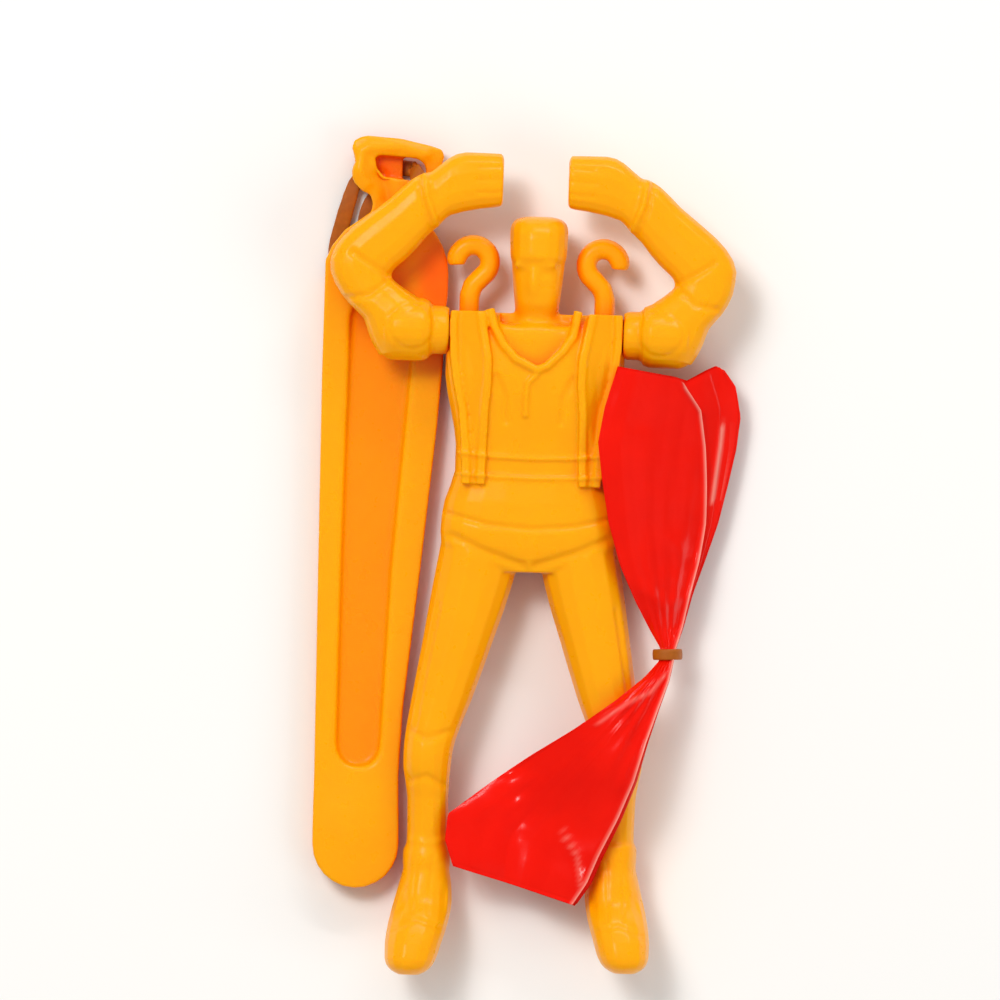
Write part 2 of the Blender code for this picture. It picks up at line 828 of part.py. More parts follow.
def leg_y(side, fall):
    """World Y of a share of one leg's length."""
    reach = LEG_REACH_SHARES[side > 0] * LEG_LENGTH
    return TORSO_BASE_Y + LEG_OVERLAP_Y - fall * reach


def make_leg(side, home):
    """Hip to cuff, with a thicker knee."""
    rings = []
    for fall, out, width, height, depth in eased(LEG_SHARES, ROW_STEPS):
        middle = side * out * LEG_SPREAD
        half = width * LEG_HALF_WIDTH
        low = height * LEG_HEIGHT - depth * LEG_HALF_DEPTH
        high = height * LEG_HEIGHT + depth * LEG_HALF_DEPTH
        y = leg_y(side, fall)
        rings.append(upright_ring(middle - half, middle + half, y, low, high, LEG_POWER_SHARE, LIMB_SIDES))
    return loft("leg", rings, home)


def make_boot(side, home):
    """Cuff, ankle and toe of a boot that points away and up."""
    start = leg_y(side, 1) + BOOT_OVERLAP_Y
    rings = []
    for fall, inner, outer, low, high in eased(BOOT_SHARES, ROW_STEPS):
        edges = sorted(side * (LEG_SPREAD + share * BOOT_HALF_WIDTH) for share in (inner, outer))
        y = start - fall * BOOT_LENGTH
        low_z = low * BOOT_HEIGHT
        high_z = high * BOOT_HEIGHT
        rings.append(upright_ring(edges[0], edges[1], y, low_z, high_z, BOOT_POWER_SHARE, LIMB_SIDES))
    return loft("boot", rings, home)


def make_figure(home, tools):
    """Torso, head, harness, legs and boots moulded as one body."""
    body = make_torso(home)
    tree = tree_of(body)
    use_boolean(body, make_collar_pocket(tree, tools), "DIFFERENCE")
    use_boolean(body, make_neck_well(tree, tools), "DIFFERENCE")
    for side in (-1, 1):
        use_boolean(body, make_strap(side, tree, tools), "UNION")
    use_boolean(body, chest_line("collar", COLLAR_SHARES, COLLAR_RADIUS, tree, tools), "UNION")
    use_boolean(body, chest_line("closure", CLOSURE_SHARES, CLOSURE_RADIUS, tree, tools), "UNION")
    for piece in make_head(tools):
        use_boolean(body, piece, "UNION")
    for side in (-1, 1):
        use_boolean(body, make_leg(side, tools), "UNION")
        use_boolean(body, make_boot(side, tools), "UNION")
    shoulder_y = torso_y(1) - SHOULDER_DROP
    for side in (-1, 1):
        center = (side * TORSO_HALF_WIDTH, shoulder_y, SHOULDER_HEIGHT)
        hole = cylinder(
            "peg_hole", PEG_RADIUS + PEG_CLEARANCE, 2 * (PEG_LENGTH + CLEARANCE), center, (1, 0, 0), tools
        )
        use_boolean(body, hole, "DIFFERENCE")
        center = (side * stem_out(), torso_y(STRAP_SHARES[0][0]), HOOK_HEIGHT)
        hole = cylinder(
            "stem_hole", HOOK_WIRE_RADIUS + CLEARANCE, 2 * (HOOK_SINK + CLEARANCE), center, (0, 1, 0), tools
        )
        use_boolean(body, hole, "DIFFERENCE")
    bake(body)
    return body


def shoulder_out():
    """Distance of the shoulder's origin from the middle line."""
    return TORSO_HALF_WIDTH + SHOULDER_REACH


def arm_lean(side, rise):
    """How far a sleeve stands out at one share of its rise."""
    share = (rise - ARM_LEAN_START_SHARE) / (ARM_LEAN_END_SHARE - ARM_LEAN_START_SHARE)
    return ARM_LEANS[side > 0] * min(1, max(0, share))


def make_arm(name, side, home, tools):
    """Raised arm: sleeve and fist in one skin, joined to a round shoulder with a peg."""
    rings = []
    for out, rise, in_out, in_rise, depth in eased(ARM_SHARES, ROW_STEPS):
        outer = Vector((side * (out * ARM_REACH + arm_lean(side, rise)), rise * ARM_RISE, 0))
        inner = Vector((side * (in_out * ARM_REACH + arm_lean(side, in_rise)), in_rise * ARM_RISE, 0))
        up = Vector((0, 0, depth * ARM_HALF_DEPTH))
        rings.append(oval((outer + inner) / 2, (outer - inner) / 2, up, ARM_POWER_SHARE, LIMB_SIDES))
    arm = loft(name, rings, home)
    inner_face = CLEARANCE - SHOULDER_REACH
    center = (side * (inner_face + HUB_WIDTH + SHOULDER_WIDTH / 2), 0, 0)
    shoulder = cylinder("shoulder", SHOULDER_RADIUS, SHOULDER_WIDTH, center, (1, 0, 0), tools)
    bevel_edges(shoulder, SHOULDER_ROUNDING)
    center = (side * (inner_face + HUB_WIDTH), 0, 0)
    hub = cylinder("hub", HUB_RADIUS, 2 * HUB_WIDTH, center, (1, 0, 0), tools)
    length = PEG_LENGTH + CLEARANCE + HUB_WIDTH + OVERLAP
    center = (side * (inner_face + HUB_WIDTH + OVERLAP - length / 2), 0, 0)
    peg = cylinder("peg", PEG_RADIUS, length, center, (1, 0, 0), tools)
    guard_low = (-side * shoulder_out(), -ARM_RISE, -ARM_RISE)
    guard_high = (side * inner_face, SHOULDER_RADIUS + OVERLAP, ARM_RISE)
    low = [min(a, b) for a, b in zip(guard_low, guard_high)]
    high = [max(a, b) for a, b in zip(guard_low, guard_high)]
    guard = block("shoulder_guard", low, high, tools)
    use_boolean(arm, guard, "DIFFERENCE")
    for tool in (shoulder, hub, peg):
        use_boolean(arm, tool, "UNION")
    bake(arm)
    return arm


def stem_out():
    """Distance of a hook's stem from the middle line."""
    return HOOK_STEM_SHARE * TORSO_HALF_WIDTH


def make_hook(name, side, home):
    """Open eye bent from round stock, its stem going down into the strap."""
    base = torso_y(STRAP_SHARES[0][0])
    points = [
        Vector((side * stem_out(), base - HOOK_SINK, HOOK_HEIGHT)),
        Vector((side * stem_out(), base + HOOK_STEM_TOP, HOOK_HEIGHT)),
    ]
    eye = Vector((stem_out() - HOOK_EYE_INSET, base + HOOK_EYE_RISE, HOOK_HEIGHT))
    for step in range(HOOK_STEPS + 1):
        turn = HOOK_START_DEGREES_SHARE
        turn += (HOOK_END_DEGREES_SHARE - HOOK_START_DEGREES_SHARE) * step / HOOK_STEPS
        across = HOOK_EYE_RADIUS * math.cos(math.radians(turn))
        along = HOOK_EYE_RADIUS * math.sin(math.radians(turn))
        points.append(Vector((side * (eye.x + across), eye.y + along, eye.z)))
    bend = points[1].lerp(points[2], 0.5)
    bend.x += side * HOOK_BEND
    points.insert(2, bend)
    return wire(name, points, HOOK_WIRE_RADIUS, home, HOOK_TAPER_SHARES)


def launcher_outline(shares):
    """Plan points of the launcher from shares of its width and length."""
    return [(LAUNCHER_X + x * LAUNCHER_WIDTH, LAUNCHER_Y + y * LAUNCHER_LENGTH) for x, y in shares]


def make_launcher(home, tools):
    """Paddle with a sunk grip, a thinner neck and a head whose slot is open at its right end."""
    handle = plate("launcher_handle", launcher_outline(LAUNCHER_SHARES), 0, LAUNCHER_THICKNESS, home)
    bevel_rims(handle, LAUNCHER_ROUNDING)
    top = 2 * LAUNCHER_THICKNESS
    slot = plate("slot", launcher_outline(SLOT_SHARES), -LAUNCHER_THICKNESS, top, tools)
    floor = LAUNCHER_THICKNESS - RECESS_DEPTH
    recess = plate("recess", launcher_outline(RECESS_SHARES), floor, top, tools)
    start = LAUNCHER_Y + RELIEF_START_SHARE * LAUNCHER_LENGTH
    relief = block(
        "relief",
        (LAUNCHER_X - LAUNCHER_WIDTH, start, -LAUNCHER_THICKNESS),
        (LAUNCHER_X + LAUNCHER_WIDTH, LAUNCHER_Y + 2 * LAUNCHER_LENGTH, RELIEF_DEPTH),
        tools,
    )
    for tool in (slot, recess, relief):
        use_boolean(handle, tool, "DIFFERENCE")
    low = RELIEF_DEPTH + SLOT_FLOOR_RISE
    high = low + SLOT_FLOOR_THICKNESS
    slot_floor = plate("slot_floor", launcher_outline(SLOT_FLOOR_SHARES), low, high, tools)
    use_boolean(handle, slot_floor, "UNION")
    bake(handle)
    return handle


def band_ring(center, along, across, width, thickness):
    """Flat section with rounded corners, square to its run."""
    across = (across - across.dot(along) * along).normalized()
    up = along.cross(across)
    return oval(center, across * width / 2, up * thickness / 2, BAND_POWER_SHARE, BAND_SIDES)


def make_band(home):
    """Closed rubber loop: behind the head, out past the notch, behind the shoulder and back."""
    rows = resample(BAND_SHARES, ROW_STEPS)
    centers = [
        Vector(
            (
                LAUNCHER_X + row[0] * LAUNCHER_WIDTH,
                LAUNCHER_Y + row[1] * LAUNCHER_LENGTH,
                row[2] * BAND_HEIGHT,
            )
        )
        for row in rows
    ]
    rings = []
    before = Vector(rows[0][3:])
    count = len(rows)
    for place, row in enumerate(rows):
        along = (centers[(place + 1) % count] - centers[place - 1]).normalized()
        across = Vector(row[3:])
        across = across - across.dot(along) * along
        if across.dot(before) < 0:
            across = -across
        before = across
        rings.append(band_ring(centers[place], along, across, BAND_WIDTH, BAND_THICKNESS))
    turn = 0 if before.dot(Vector(rows[0][3:])) > 0 else BAND_SIDES // 2
    return loft("launcher_band", rings, home, closed=True, turn=turn)


def canopy_point(row, column):
    """Plan point on the canopy for fractional row and column."""
    low = min(int(row), len(CANOPY_ROW_SHARES) - 2)
    part = row - low
    first, second = CANOPY_ROW_SHARES[low], CANOPY_ROW_SHARES[low + 1]
    left_x, left_y, right_x, right_y = [a + (b - a) * part for a, b in zip(first, second)]
    across, lift = column[0], column[1]
    x = left_x + (right_x - left_x) * across
    y = left_y + (right_y - left_y) * across + lift * max(0, 1 - row / CANOPY_TOP_ROWS_SHARE)
    return CANOPY_X + x * CANOPY_WIDTH, CANOPY_Y + y * CANOPY_LENGTH


def drape_height(x, y, samples):
    """Underside of the film: it lies on what is under it and slopes down beside it."""
    height = DRAPE_CLEARANCE
    for spot_x, spot_y, spot_z in samples:
        away = max(0, math.hypot(spot_x - x, spot_y - y) - DRAPE_REACH)
        height = max(height, spot_z + DRAPE_CLEARANCE - DRAPE_SLOPE_SHARE * away)
    return height


def sample_body(tree):
    """Heights of the figure on a fine plan grid where the canopy can reach."""
    samples = []
    x_low = CANOPY_X - CANOPY_WIDTH
    y_low = CANOPY_Y - CANOPY_LENGTH
    x_steps = int(2 * CANOPY_WIDTH / SAMPLE_STEP)
    y_steps = int(2 * CANOPY_LENGTH / SAMPLE_STEP)
    for x_step in range(x_steps):
        for y_step in range(y_steps):
            x = x_low + x_step * SAMPLE_STEP
            y = y_low + y_step * SAMPLE_STEP
            if not inside_canopy(x, y):
                continue
            z = top_under(tree, x, y)
            if z is not None:
                samples.append((x, y, z))
    return samples


def inside_canopy(x, y):
    """Whether a plan point lies within the canopy's outline and a small margin."""
    left = [canopy_point(row, CANOPY_FOLD_SHARES[0]) for row in range(len(CANOPY_ROW_SHARES))]
    right = [canopy_point(row, CANOPY_FOLD_SHARES[-1]) for row in range(len(CANOPY_ROW_SHARES))]
    outline = left + right[::-1]
    hits = 0
    for first, second in zip(outline, outline[1:] + outline[:1]):
        if (first[1] > y) != (second[1] > y):
            cross = first[0] + (second[0] - first[0]) * (y - first[1]) / (second[1] - first[1])
            hits += cross > x
    if hits % 2:
        return True
    return any(math.hypot(spot[0] - x, spot[1] - y) < 2 * SAMPLE_STEP for spot in outline)


def make_canopy(tree, home):
    """Film folded in pleats, gathered at the neck and laid over flank and leg."""
    samples = sample_body(tree)
    rows = []
    count = CANOPY_STEPS * (len(CANOPY_ROW_SHARES) - 1) + 1
    for step in range(count):
        row = step / CANOPY_STEPS
        neck = min(1, max(0, CANOPY_NECK_ROWS_SHARE[0] - row, row - CANOPY_NECK_ROWS_SHARE[1]))
        row_points = []
        for column in CANOPY_FOLD_SHARES:
            x, y = canopy_point(row, column)
            base = drape_height(x, y, samples)
            bow = math.sin(math.pi * column[0])
            full = CANOPY_EDGE_SHARE + (1 - CANOPY_EDGE_SHARE) * column[2] * math.sqrt(bow)
            free = CANOPY_THICKNESS * full
            row_points.append((x, y, base, free, bow, neck))
        rows.append(row_points)
    lower, upper = [], []
    for row_points in rows:
        middle = max(point[2] for point in row_points) + CANOPY_NECK_HALF_HEIGHT
        for x, y, base, free, bow, neck in row_points:
            full = CANOPY_NECK_CORNER_SHARE + (1 - CANOPY_NECK_CORNER_SHARE) * math.sqrt(bow)
            round_low = middle - CANOPY_NECK_HALF_HEIGHT * full
            round_high = middle + CANOPY_NECK_HALF_HEIGHT * full
            lower.append(Vector((x, y, max(base, round_low + (base - round_low) * neck))))
            upper.append(Vector((x, y, round_high + (base + free - round_high) * neck)))
    return skin_between("canopy", lower, upper, len(CANOPY_FOLD_SHARES), home)


def skin_between(name, lower, upper, width, home):
    """Closed solid between two grids of points."""
    height = len(lower) // width
    start = len(lower)
    faces = []
    for row in range(height - 1):
        for column in range(width - 1):
            a = row * width + column
            faces.append((a, a + 1, a + width + 1, a + width))
            faces.append((start + a + width, start + a + width + 1, start + a + 1, start + a))
    rim = [column for column in range(width)]
    rim += [row * width + width - 1 for row in range(1, height)]
    rim += [(height - 1) * width + column for column in range(width - 2, -1, -1)]
    rim += [row * width for row in range(height - 2, 0, -1)]
    for first, second in zip(rim, rim[1:] + rim[:1]):
        faces.append((first, second, start + second, start + first))
    return new_object(name, lower + upper, faces, home)


def make_tie(canopy, home):
    """Rubber ring round the gathered neck of the canopy."""
    width = len(CANOPY_FOLD_SHARES)
    half = len(canopy.data.vertices) // 2
    row = CANOPY_STEPS * sum(CANOPY_NECK_ROWS_SHARE) // 2
    lower = [canopy.data.vertices[row * width + step].co for step in range(width)]
    upper = [canopy.data.vertices[half + row * width + step].co for step in range(width)]
    center = (lower[0] + lower[-1] + upper[0] + upper[-1]) / 4
    side = (lower[-1] - lower[0]) / 2
    along = side.cross(Vector((0, 0, 1))).normalized()
    gap = CLEARANCE + TIE_THICKNESS / 2
    half_height = max(spot.z for spot in upper) - min(spot.z for spot in lower)
    center.z = (max(spot.z for spot in upper) + min(spot.z for spot in lower)) / 2
    side_half = side.length + gap
    rise_half = half_height / 2 + gap
    across = side.normalized()
    rings = []
    for step in range(RING_SIDES):
        turn = 2 * math.pi * step / RING_SIDES
        out = across * side_half * math.cos(turn) + Vector((0, 0, 1)) * rise_half * math.sin(turn)
        rings.append(band_section(center + out, out.normalized(), along))
    return loft("canopy_tie", rings, home, closed=True)


def band_section(center, outward, along):
    """Section of the tie: wide along the neck, thin outward."""
    return oval(center, along * TIE_WIDTH / 2, outward * TIE_THICKNESS / 2, BAND_POWER_SHARE, BAND_SIDES)


def center_set(items, root):
    """Shift the root so that the set's box is centred over the origin."""
    bpy.context.view_layer.update()
    spots = [item.matrix_world @ Vector(corner) for item in items for corner in item.bound_box]
    middle = [(min(spot[k] for spot in spots) + max(spot[k] for spot in spots)) / 2 for k in range(2)]
    root.location = (-middle[0], -middle[1], 0)
    for item in items:
        item.parent = root


def main():
    """Build every piece, colour it and centre the set."""
    clear_scene()
    home = new_collection("toy_parachute", False)
    tools = new_collection("cutters", True)
    shoulder_y = torso_y(1) - SHOULDER_DROP
    body = make_figure(home, tools)
    left_arm = make_arm("left_arm", -1, home, tools)
    left_arm.location = (-shoulder_out(), shoulder_y, SHOULDER_HEIGHT)
    right_arm = make_arm("right_arm", 1, home, tools)
    right_arm.location = (shoulder_out(), shoulder_y, SHOULDER_HEIGHT)
    hooks = [make_hook("left_hook", -1, home), make_hook("right_hook", 1, home)]
    handle = make_launcher(home, tools)
    band = make_band(home)
    canopy = make_canopy(tree_of(body), home)
    tie = make_tie(canopy, home)
    yellow = new_material("yellow_plastic", YELLOW_SHARES)
    brown = new_material("brown_rubber", BROWN_SHARES)
    red = new_material("red_film", RED_SHARES)
    items = [body, left_arm, right_arm, *hooks, handle, band, canopy, tie]
    for item in items:
        smooth(item)
        item.data.materials.clear()
        item.data.materials.append(yellow)
    for item in (band, tie):
        item.data.materials[0] = brown
    canopy.data.materials[0] = red
    root = bpy.data.objects.new("toy_parachute_root", None)
    home.objects.link(root)
    center_set(items, root)


main()
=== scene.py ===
"""Fine shapes and finishes of a toy paratrooper, its launcher and its folded canopy.

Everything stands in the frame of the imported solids, in metres. Tables hold shares of
the box of the piece they belong to, unless a comment gives their unit.
"""
import math

import bpy
import numpy as np
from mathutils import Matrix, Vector, noise
from mathutils.bvhtree import BVHTree


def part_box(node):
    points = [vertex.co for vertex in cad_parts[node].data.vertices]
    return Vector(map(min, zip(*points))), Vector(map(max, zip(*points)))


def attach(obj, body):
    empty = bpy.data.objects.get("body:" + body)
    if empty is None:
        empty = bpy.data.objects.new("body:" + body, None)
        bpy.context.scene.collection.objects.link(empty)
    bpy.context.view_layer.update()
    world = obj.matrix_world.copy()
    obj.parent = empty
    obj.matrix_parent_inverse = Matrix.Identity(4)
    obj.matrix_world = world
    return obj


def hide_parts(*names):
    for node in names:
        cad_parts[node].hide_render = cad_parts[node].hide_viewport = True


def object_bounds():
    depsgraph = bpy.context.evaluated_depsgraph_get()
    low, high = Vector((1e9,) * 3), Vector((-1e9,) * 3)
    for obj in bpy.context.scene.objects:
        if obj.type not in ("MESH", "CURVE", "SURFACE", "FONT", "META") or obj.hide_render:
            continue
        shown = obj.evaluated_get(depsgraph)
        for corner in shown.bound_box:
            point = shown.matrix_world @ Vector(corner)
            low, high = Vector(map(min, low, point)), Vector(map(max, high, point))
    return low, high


bl_info = {
    "name": "Toy paratrooper set",
    "version": (1, 0, 0),
    "blender": (4, 5, 0),
    "location": "3D View > Sidebar > Toy set",
    "description": "Adds the fine shapes and finishes of a toy paratrooper with launcher and canopy",
    "category": "Object",
}

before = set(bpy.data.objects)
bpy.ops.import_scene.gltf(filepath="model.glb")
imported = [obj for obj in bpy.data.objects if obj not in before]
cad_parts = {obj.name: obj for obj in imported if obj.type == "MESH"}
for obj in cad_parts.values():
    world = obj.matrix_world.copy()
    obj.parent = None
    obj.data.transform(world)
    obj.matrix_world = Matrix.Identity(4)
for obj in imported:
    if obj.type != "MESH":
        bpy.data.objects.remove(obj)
MM = 0.001
CAD_BOX = [list(corner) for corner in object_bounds()]
FIGURE_LOW, FIGURE_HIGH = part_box("figure_body")
CANOPY_LOW, CANOPY_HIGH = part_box("canopy")
LAUNCHER_LOW, LAUNCHER_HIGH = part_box("launcher_handle")
LAUNCHER_SIZE = LAUNCHER_HIGH - LAUNCHER_LOW

# Photograph: a view straight down, turned a little, on this width of the floor.
VIEW_WIDTH = 0.1156
VIEW_CENTER = (-0.00351, 0.00665)
VIEW_TURN_DEG = 1.81
LENS_MM = 500
SENSOR_MM = 36
CLIP_START = 0.01

# Stage, in metres: the floor's half size and its drop below the set. Then the strength of
# the surround as light, in highlights and to the camera.
FLOOR_REACH = 4
FLOOR_DROP = 0.00002
SURROUND_LIGHT = 0.46
SURROUND_IN_HIGHLIGHTS = 0.04
SURROUND_SEEN = 1
# Lamps: (name, place, size, watts, seen in highlights).
LAMPS = (
    ("key", (-0.38, 0.44, 0.95), (0.42, 0.42), 6.0, False),
    ("fill", (0.8, -0.35, 0.6), (0.6, 0.6), 2.6, False),
    ("spark", (-0.36, 0.42, 0.95), (0.14, 0.14), 1.2, True),
    ("strip", (0.2, 0.75, 0.5), (0.5, 0.05), 1.3, True),
)

# Surfaces: inputs of the principled shader.
PLASTIC_SURFACE = {
    "IOR": 1.5,
    "Specular IOR Level": 0.35,
    "Subsurface Weight": 0.3,
    "Subsurface Radius": (1.0, 0.35, 0.05),
    "Subsurface Scale": 0.0018,
}
FILM_SURFACE = {
    "Roughness": 0.2,
    "IOR": 1.51,
    "Specular IOR Level": 0.4,
    "Subsurface Weight": 0.12,
    "Subsurface Radius": (1.0, 0.1, 0.05),
    "Subsurface Scale": 0.001,
}
RUBBER_SURFACE = {
    "Roughness": 0.5,
    "IOR": 1.52,
    "Subsurface Weight": 0.15,
    "Subsurface Radius": (1.0, 0.4, 0.1),
    "Subsurface Scale": 0.0008,
}
FLOOR_ROUGHNESS = 0.9
# Sockets of the colour mix node: its two colours and its result.
MIX_FIRST = 6
MIX_SECOND = 7
MIX_RESULT = 2

# Fine modelling of the moulded pieces.
BODY_VOXEL = 0.00018
LIMB_VOXEL = 0.00018
LAUNCHER_VOXEL = 0.00016
EDGE_PASSES = 4
SKIN_PASSES = 12
RELAX = 0.5
REFILL = -0.525
# Rise of a vertex normal at which the front begins, and the span to where it counts in full.
FRONT_START = 0.1
FRONT_SPAN = 0.4
# Power that gives a soft patch a flat middle.
PLATEAU_POWER = 4
# Rubber: reach of the weld and levels of rounding.
WELD_REACH = 0.00001
ROUNDING_LEVELS = 2

# Patches of the figure's front that are softer than the rest, placed as the swellings
# below: (across, along, half width, half length, smoothing passes).
SOFT_PATCHES = (
    (-0.03, 0.9124, 0.24, 0.048, 90),
    (0, 0.8553, 0.3, 0.022, 200),
    (-0.79, 0.1405, 0.34, 0.045, 150),
    (0.79, 0.1405, 0.34, 0.045, 150),
)
# Height above the floor, in mm, over which this softening sets in.
SOFT_FROM_MM = (4, 6)
# Swellings and hollows pressed into the figure's front, placed across by shares of its
# half width and along by shares of its height: (across, along, half width, half length,
# height in millimetres).
FIGURE_BLOBS = (
    (-0.115, 0.9255, 0.045, 0.0058, -0.13),
    (0.052, 0.9245, 0.045, 0.0058, -0.13),
    (-0.135, 0.9385, 0.07, 0.0065, 0.08),
    (0.08, 0.9365, 0.07, 0.0065, 0.08),
    (-0.034, 0.916, 0.035, 0.026, 0.12),
    (-0.02, 0.885, 0.1, 0.007, 0.08),
    (0, 0.9729, 0.125, 0.0126, 0.18),
)
# Ridges and grooves on the middle line: (height in mm, half width in mm, points).
MIDDLE_LINES = (
    (0.05, 0.4, ((-0.1974, 0.9421), (-0.0987, 0.945), (0, 0.9455), (0.0987, 0.9444), (0.1974, 0.941))),
    (0.26, 0.28, ((-0.5658, 0.6875), (-0.2632, 0.6829), (0, 0.6817), (0.2632, 0.6829), (0.5658, 0.6875))),
    (0.26, 0.28, ((-0.5658, 0.66), (-0.2632, 0.6566), (0, 0.6555), (0.2632, 0.6566), (0.5658, 0.66))),
    (-0.25, 0.35, ((-0.6513, 0.6075), (-0.3289, 0.5938), (0, 0.5892), (0.3289, 0.5938), (0.6513, 0.6075))),
)
# The same on one side; each is repeated on the other.
SIDE_LINES = (
    (-0.22, 0.45, ((0.2895, 0.7879), (0.2237, 0.7605), (0.2105, 0.7308))),
    (-0.3, 0.5, ((0.5921, 0.5778), (0.3289, 0.5573), (0.0526, 0.5413))),
    (-0.22, 0.45, ((0.8947, 0.3232), (0.7368, 0.3106), (0.5658, 0.3197))),
    (-0.2, 0.4, ((0.8684, 0.2535), (0.7237, 0.2604), (0.5855, 0.2489))),
    (-0.14, 0.3, ((0.6711, 0.4865), (0.7632, 0.3951), (0.8158, 0.3266))),
    (0.16, 0.5, ((0.8618, 0.1781), (0.7039, 0.1724), (0.5461, 0.1781))),
    (-0.45, 1.5, ((0.8718, 0.1), (0.7164, 0.1042), (0.5993, 0.1))),
    (-0.1, 0.35, ((0.9474, 0.0594), (0.7632, 0.0731), (0.5658, 0.0617))),
    (-0.08, 0.25, ((0.77, 0.155), (0.79, 0.1188), (0.8, 0.0799))),
    (-0.08, 0.25, ((0.66, 0.155), (0.67, 0.1188), (0.68, 0.0799))),
)
# The same on a raised arm.
ARM_LINES = (
    (0.26, 0.3, ((0.81, 1.0487), (0.78, 1.018), (0.695, 0.982))),
    (-0.2, 0.3, ((0.852, 1.0457), (0.815, 1.014), (0.73, 0.972))),
    (-0.24, 0.4, ((1.06, 0.917), (1.2, 0.93), (1.33, 0.945))),
    (-0.24, 0.4, ((1.07, 0.908), (1.2, 0.89), (1.36, 0.885))),
    (-0.08, 0.22, ((0.215, 1.064), (0.4, 1.062))),
    (-0.08, 0.22, ((0.215, 1.047), (0.42, 1.045))),
    (-0.08, 0.22, ((0.215, 1.03), (0.4, 1.028))),
)
# Launcher: its domed lower end, and a swelling at the left of its head.
LAUNCHER_BLOBS = (
    (0.359, 0.085, 0.281, 0.05, 0.45),
    (0.253, 0.952, 0.066, 0.012, 0.25),
)
# Painted shade on the launcher: its share by depth below the rim (mm, share), which paints
# the grip recess and the slot floor darker, and one spot of painted shade at the shoulder,
# where the arm above shades it (across, along, half width, half length).
PAINTED_SHADE_BELOW_RIM = ((0.15, 0), (1.25, 0.5), (1.6, 1))
PAINTED_SHADE_SPOT = (0.93, 0.815, 0.2, 0.05)
# Edge of its grip recess (across, along), which is relaxed further in a band.
RECESS_EDGE = (
    (0.2171, 0.689),
    (0.2171, 0.76),
    (0.26, 0.778),
    (0.374, 0.786),
    (0.5747, 0.786),
    (0.6842, 0.778),
    (0.7271, 0.76),
    (0.7161, 0.689),
    (0.6067, 0.426),
    (0.561, 0.19),
    (0.5173, 0.1698),
    (0.4671, 0.1635),
    (0.3895, 0.1612),
    (0.312, 0.1635),
    (0.2618, 0.1698),
    (0.2144, 0.19),
    (0.2071, 0.426),
    (0.2171, 0.689),
)
RECESS_EDGE_WIDTH_MM = 1
RECESS_EDGE_PASSES = 70
# Raised rim of its head, and the groove below its slot, as the lines above.
HEAD_RIM = ((0.311, 0.9363), (0.253, 0.9567), (0.274, 0.9787), (0.33, 0.984), (0.572, 0.9856), (0.78, 0.977))
LAUNCHER_LINES = (
    (0.4, 0.75, HEAD_RIM),
    (-0.6, 0.8, ((0.426, 0.9476), (0.4685, 0.932), (0.489, 0.9159))),
)
# Shift of the lines on the left sleeve, which leans out.
LEFT_ARM_LEAN = -0.0011
# Free run of the loop beside the launcher's head: (along, shift to the right in mm,
# shift down in mm), fading out between two places across.
LOOP_SHIFT = (
    (0.9, 0, 0),
    (0.922, 0.3, 0.12),
    (0.9385, 0.85, 0.28),
    (0.952, 1.5, 0.1),
    (0.965, 1.5, 0),
)
LOOP_FADE = (0.16, 0.42)
# Domed mark on each shoulder and the groove round it.
SHOULDER_MARK = (0.94, 0.8511)
SHOULDER_MARK_RADIUS_MM = 2.6
SHOULDER_DOME_MM = 0.28
SHOULDER_GROOVE_MM = 0.1
SHOULDER_GROOVE_HALF_WIDTH_MM = 0.3
# Collar on the face of each arm's hub: the hub's axis (y, z), its rise towards the
# torso, and its profile (radius, share of the rise).
HUB_AXIS = (0.026, 0.0076)
COLLAR_RISE = 0.00055
COLLAR_PROFILE = ((0.0012, 0), (0.0014, 1), (0.0026, 1), (0.003, 0))

# Folded film: outline rows from its neck (left across, left along, right across, right
# along), as shares of its width and length.
FILM_NECK = (0.016345, -0.0105)
FILM_WIDTH = 0.0255
FILM_LENGTH = 0.0335
FILM_ROWS = (
    (-0.285, 0.985, 0.29, 0.91),
    (-0.34, 0.842, 0.32, 0.815),
    (-0.366, 0.722, 0.306, 0.713),
    (-0.341, 0.594, 0.271, 0.588),
    (-0.302, 0.445, 0.229, 0.454),
    (-0.239, 0.296, 0.171, 0.325),
    (-0.161, 0.176, 0.116, 0.209),
    (-0.088, 0.081, 0.077, 0.098),
    (-0.036, 0.02, 0.042, 0.023),
    (-0.04, -0.024, 0.032, -0.022),
    (-0.106, -0.081, 0.017, -0.09),
    (-0.239, -0.164, -0.024, -0.194),
    (-0.424, -0.266, -0.067, -0.313),
    (-0.62, -0.361, -0.106, -0.448),
    (-0.816, -0.466, -0.165, -0.579),
    (-0.992, -0.567, -0.237, -0.704),
    (-1, -0.654, -0.29, -0.8),
    (-0.957, -0.746, -0.362, -0.878),
)
# Rise of the upper edge across the film: (across, along), fading over its first rows.
FILM_TOP_ROWS = 2
FILM_TOP_EDGE = (
    (0, 0),
    (0.51, 0.006),
    (0.56, -0.005),
    (0.62, 0.015),
    (0.68, 0.034),
    (0.755, 0.06),
    (0.827, 0.078),
    (0.88, 0.062),
    (0.94, 0.03),
    (1, 0),
)
FILM_NECK_ROW = 8.5
FILM_LAYERS = 44
FILM_SHARP_DEG = 60
# Folds of each layer (share across), and how they and the layer's ends, in rows, wander
# from layer to layer: (swing, turn per layer, start).
LEFT_FOLD = 0.03
RIGHT_FOLD = 0.97
LEFT_FOLD_WANDER = (0.03, 1.3, 0)
RIGHT_FOLD_WANDER = (-0.03, 2.7, 0.5)
FIRST_ROW_WANDER = (0.25, 2.1, 0)
LAST_ROW_WANDER = (-0.22, 1.7, 1)
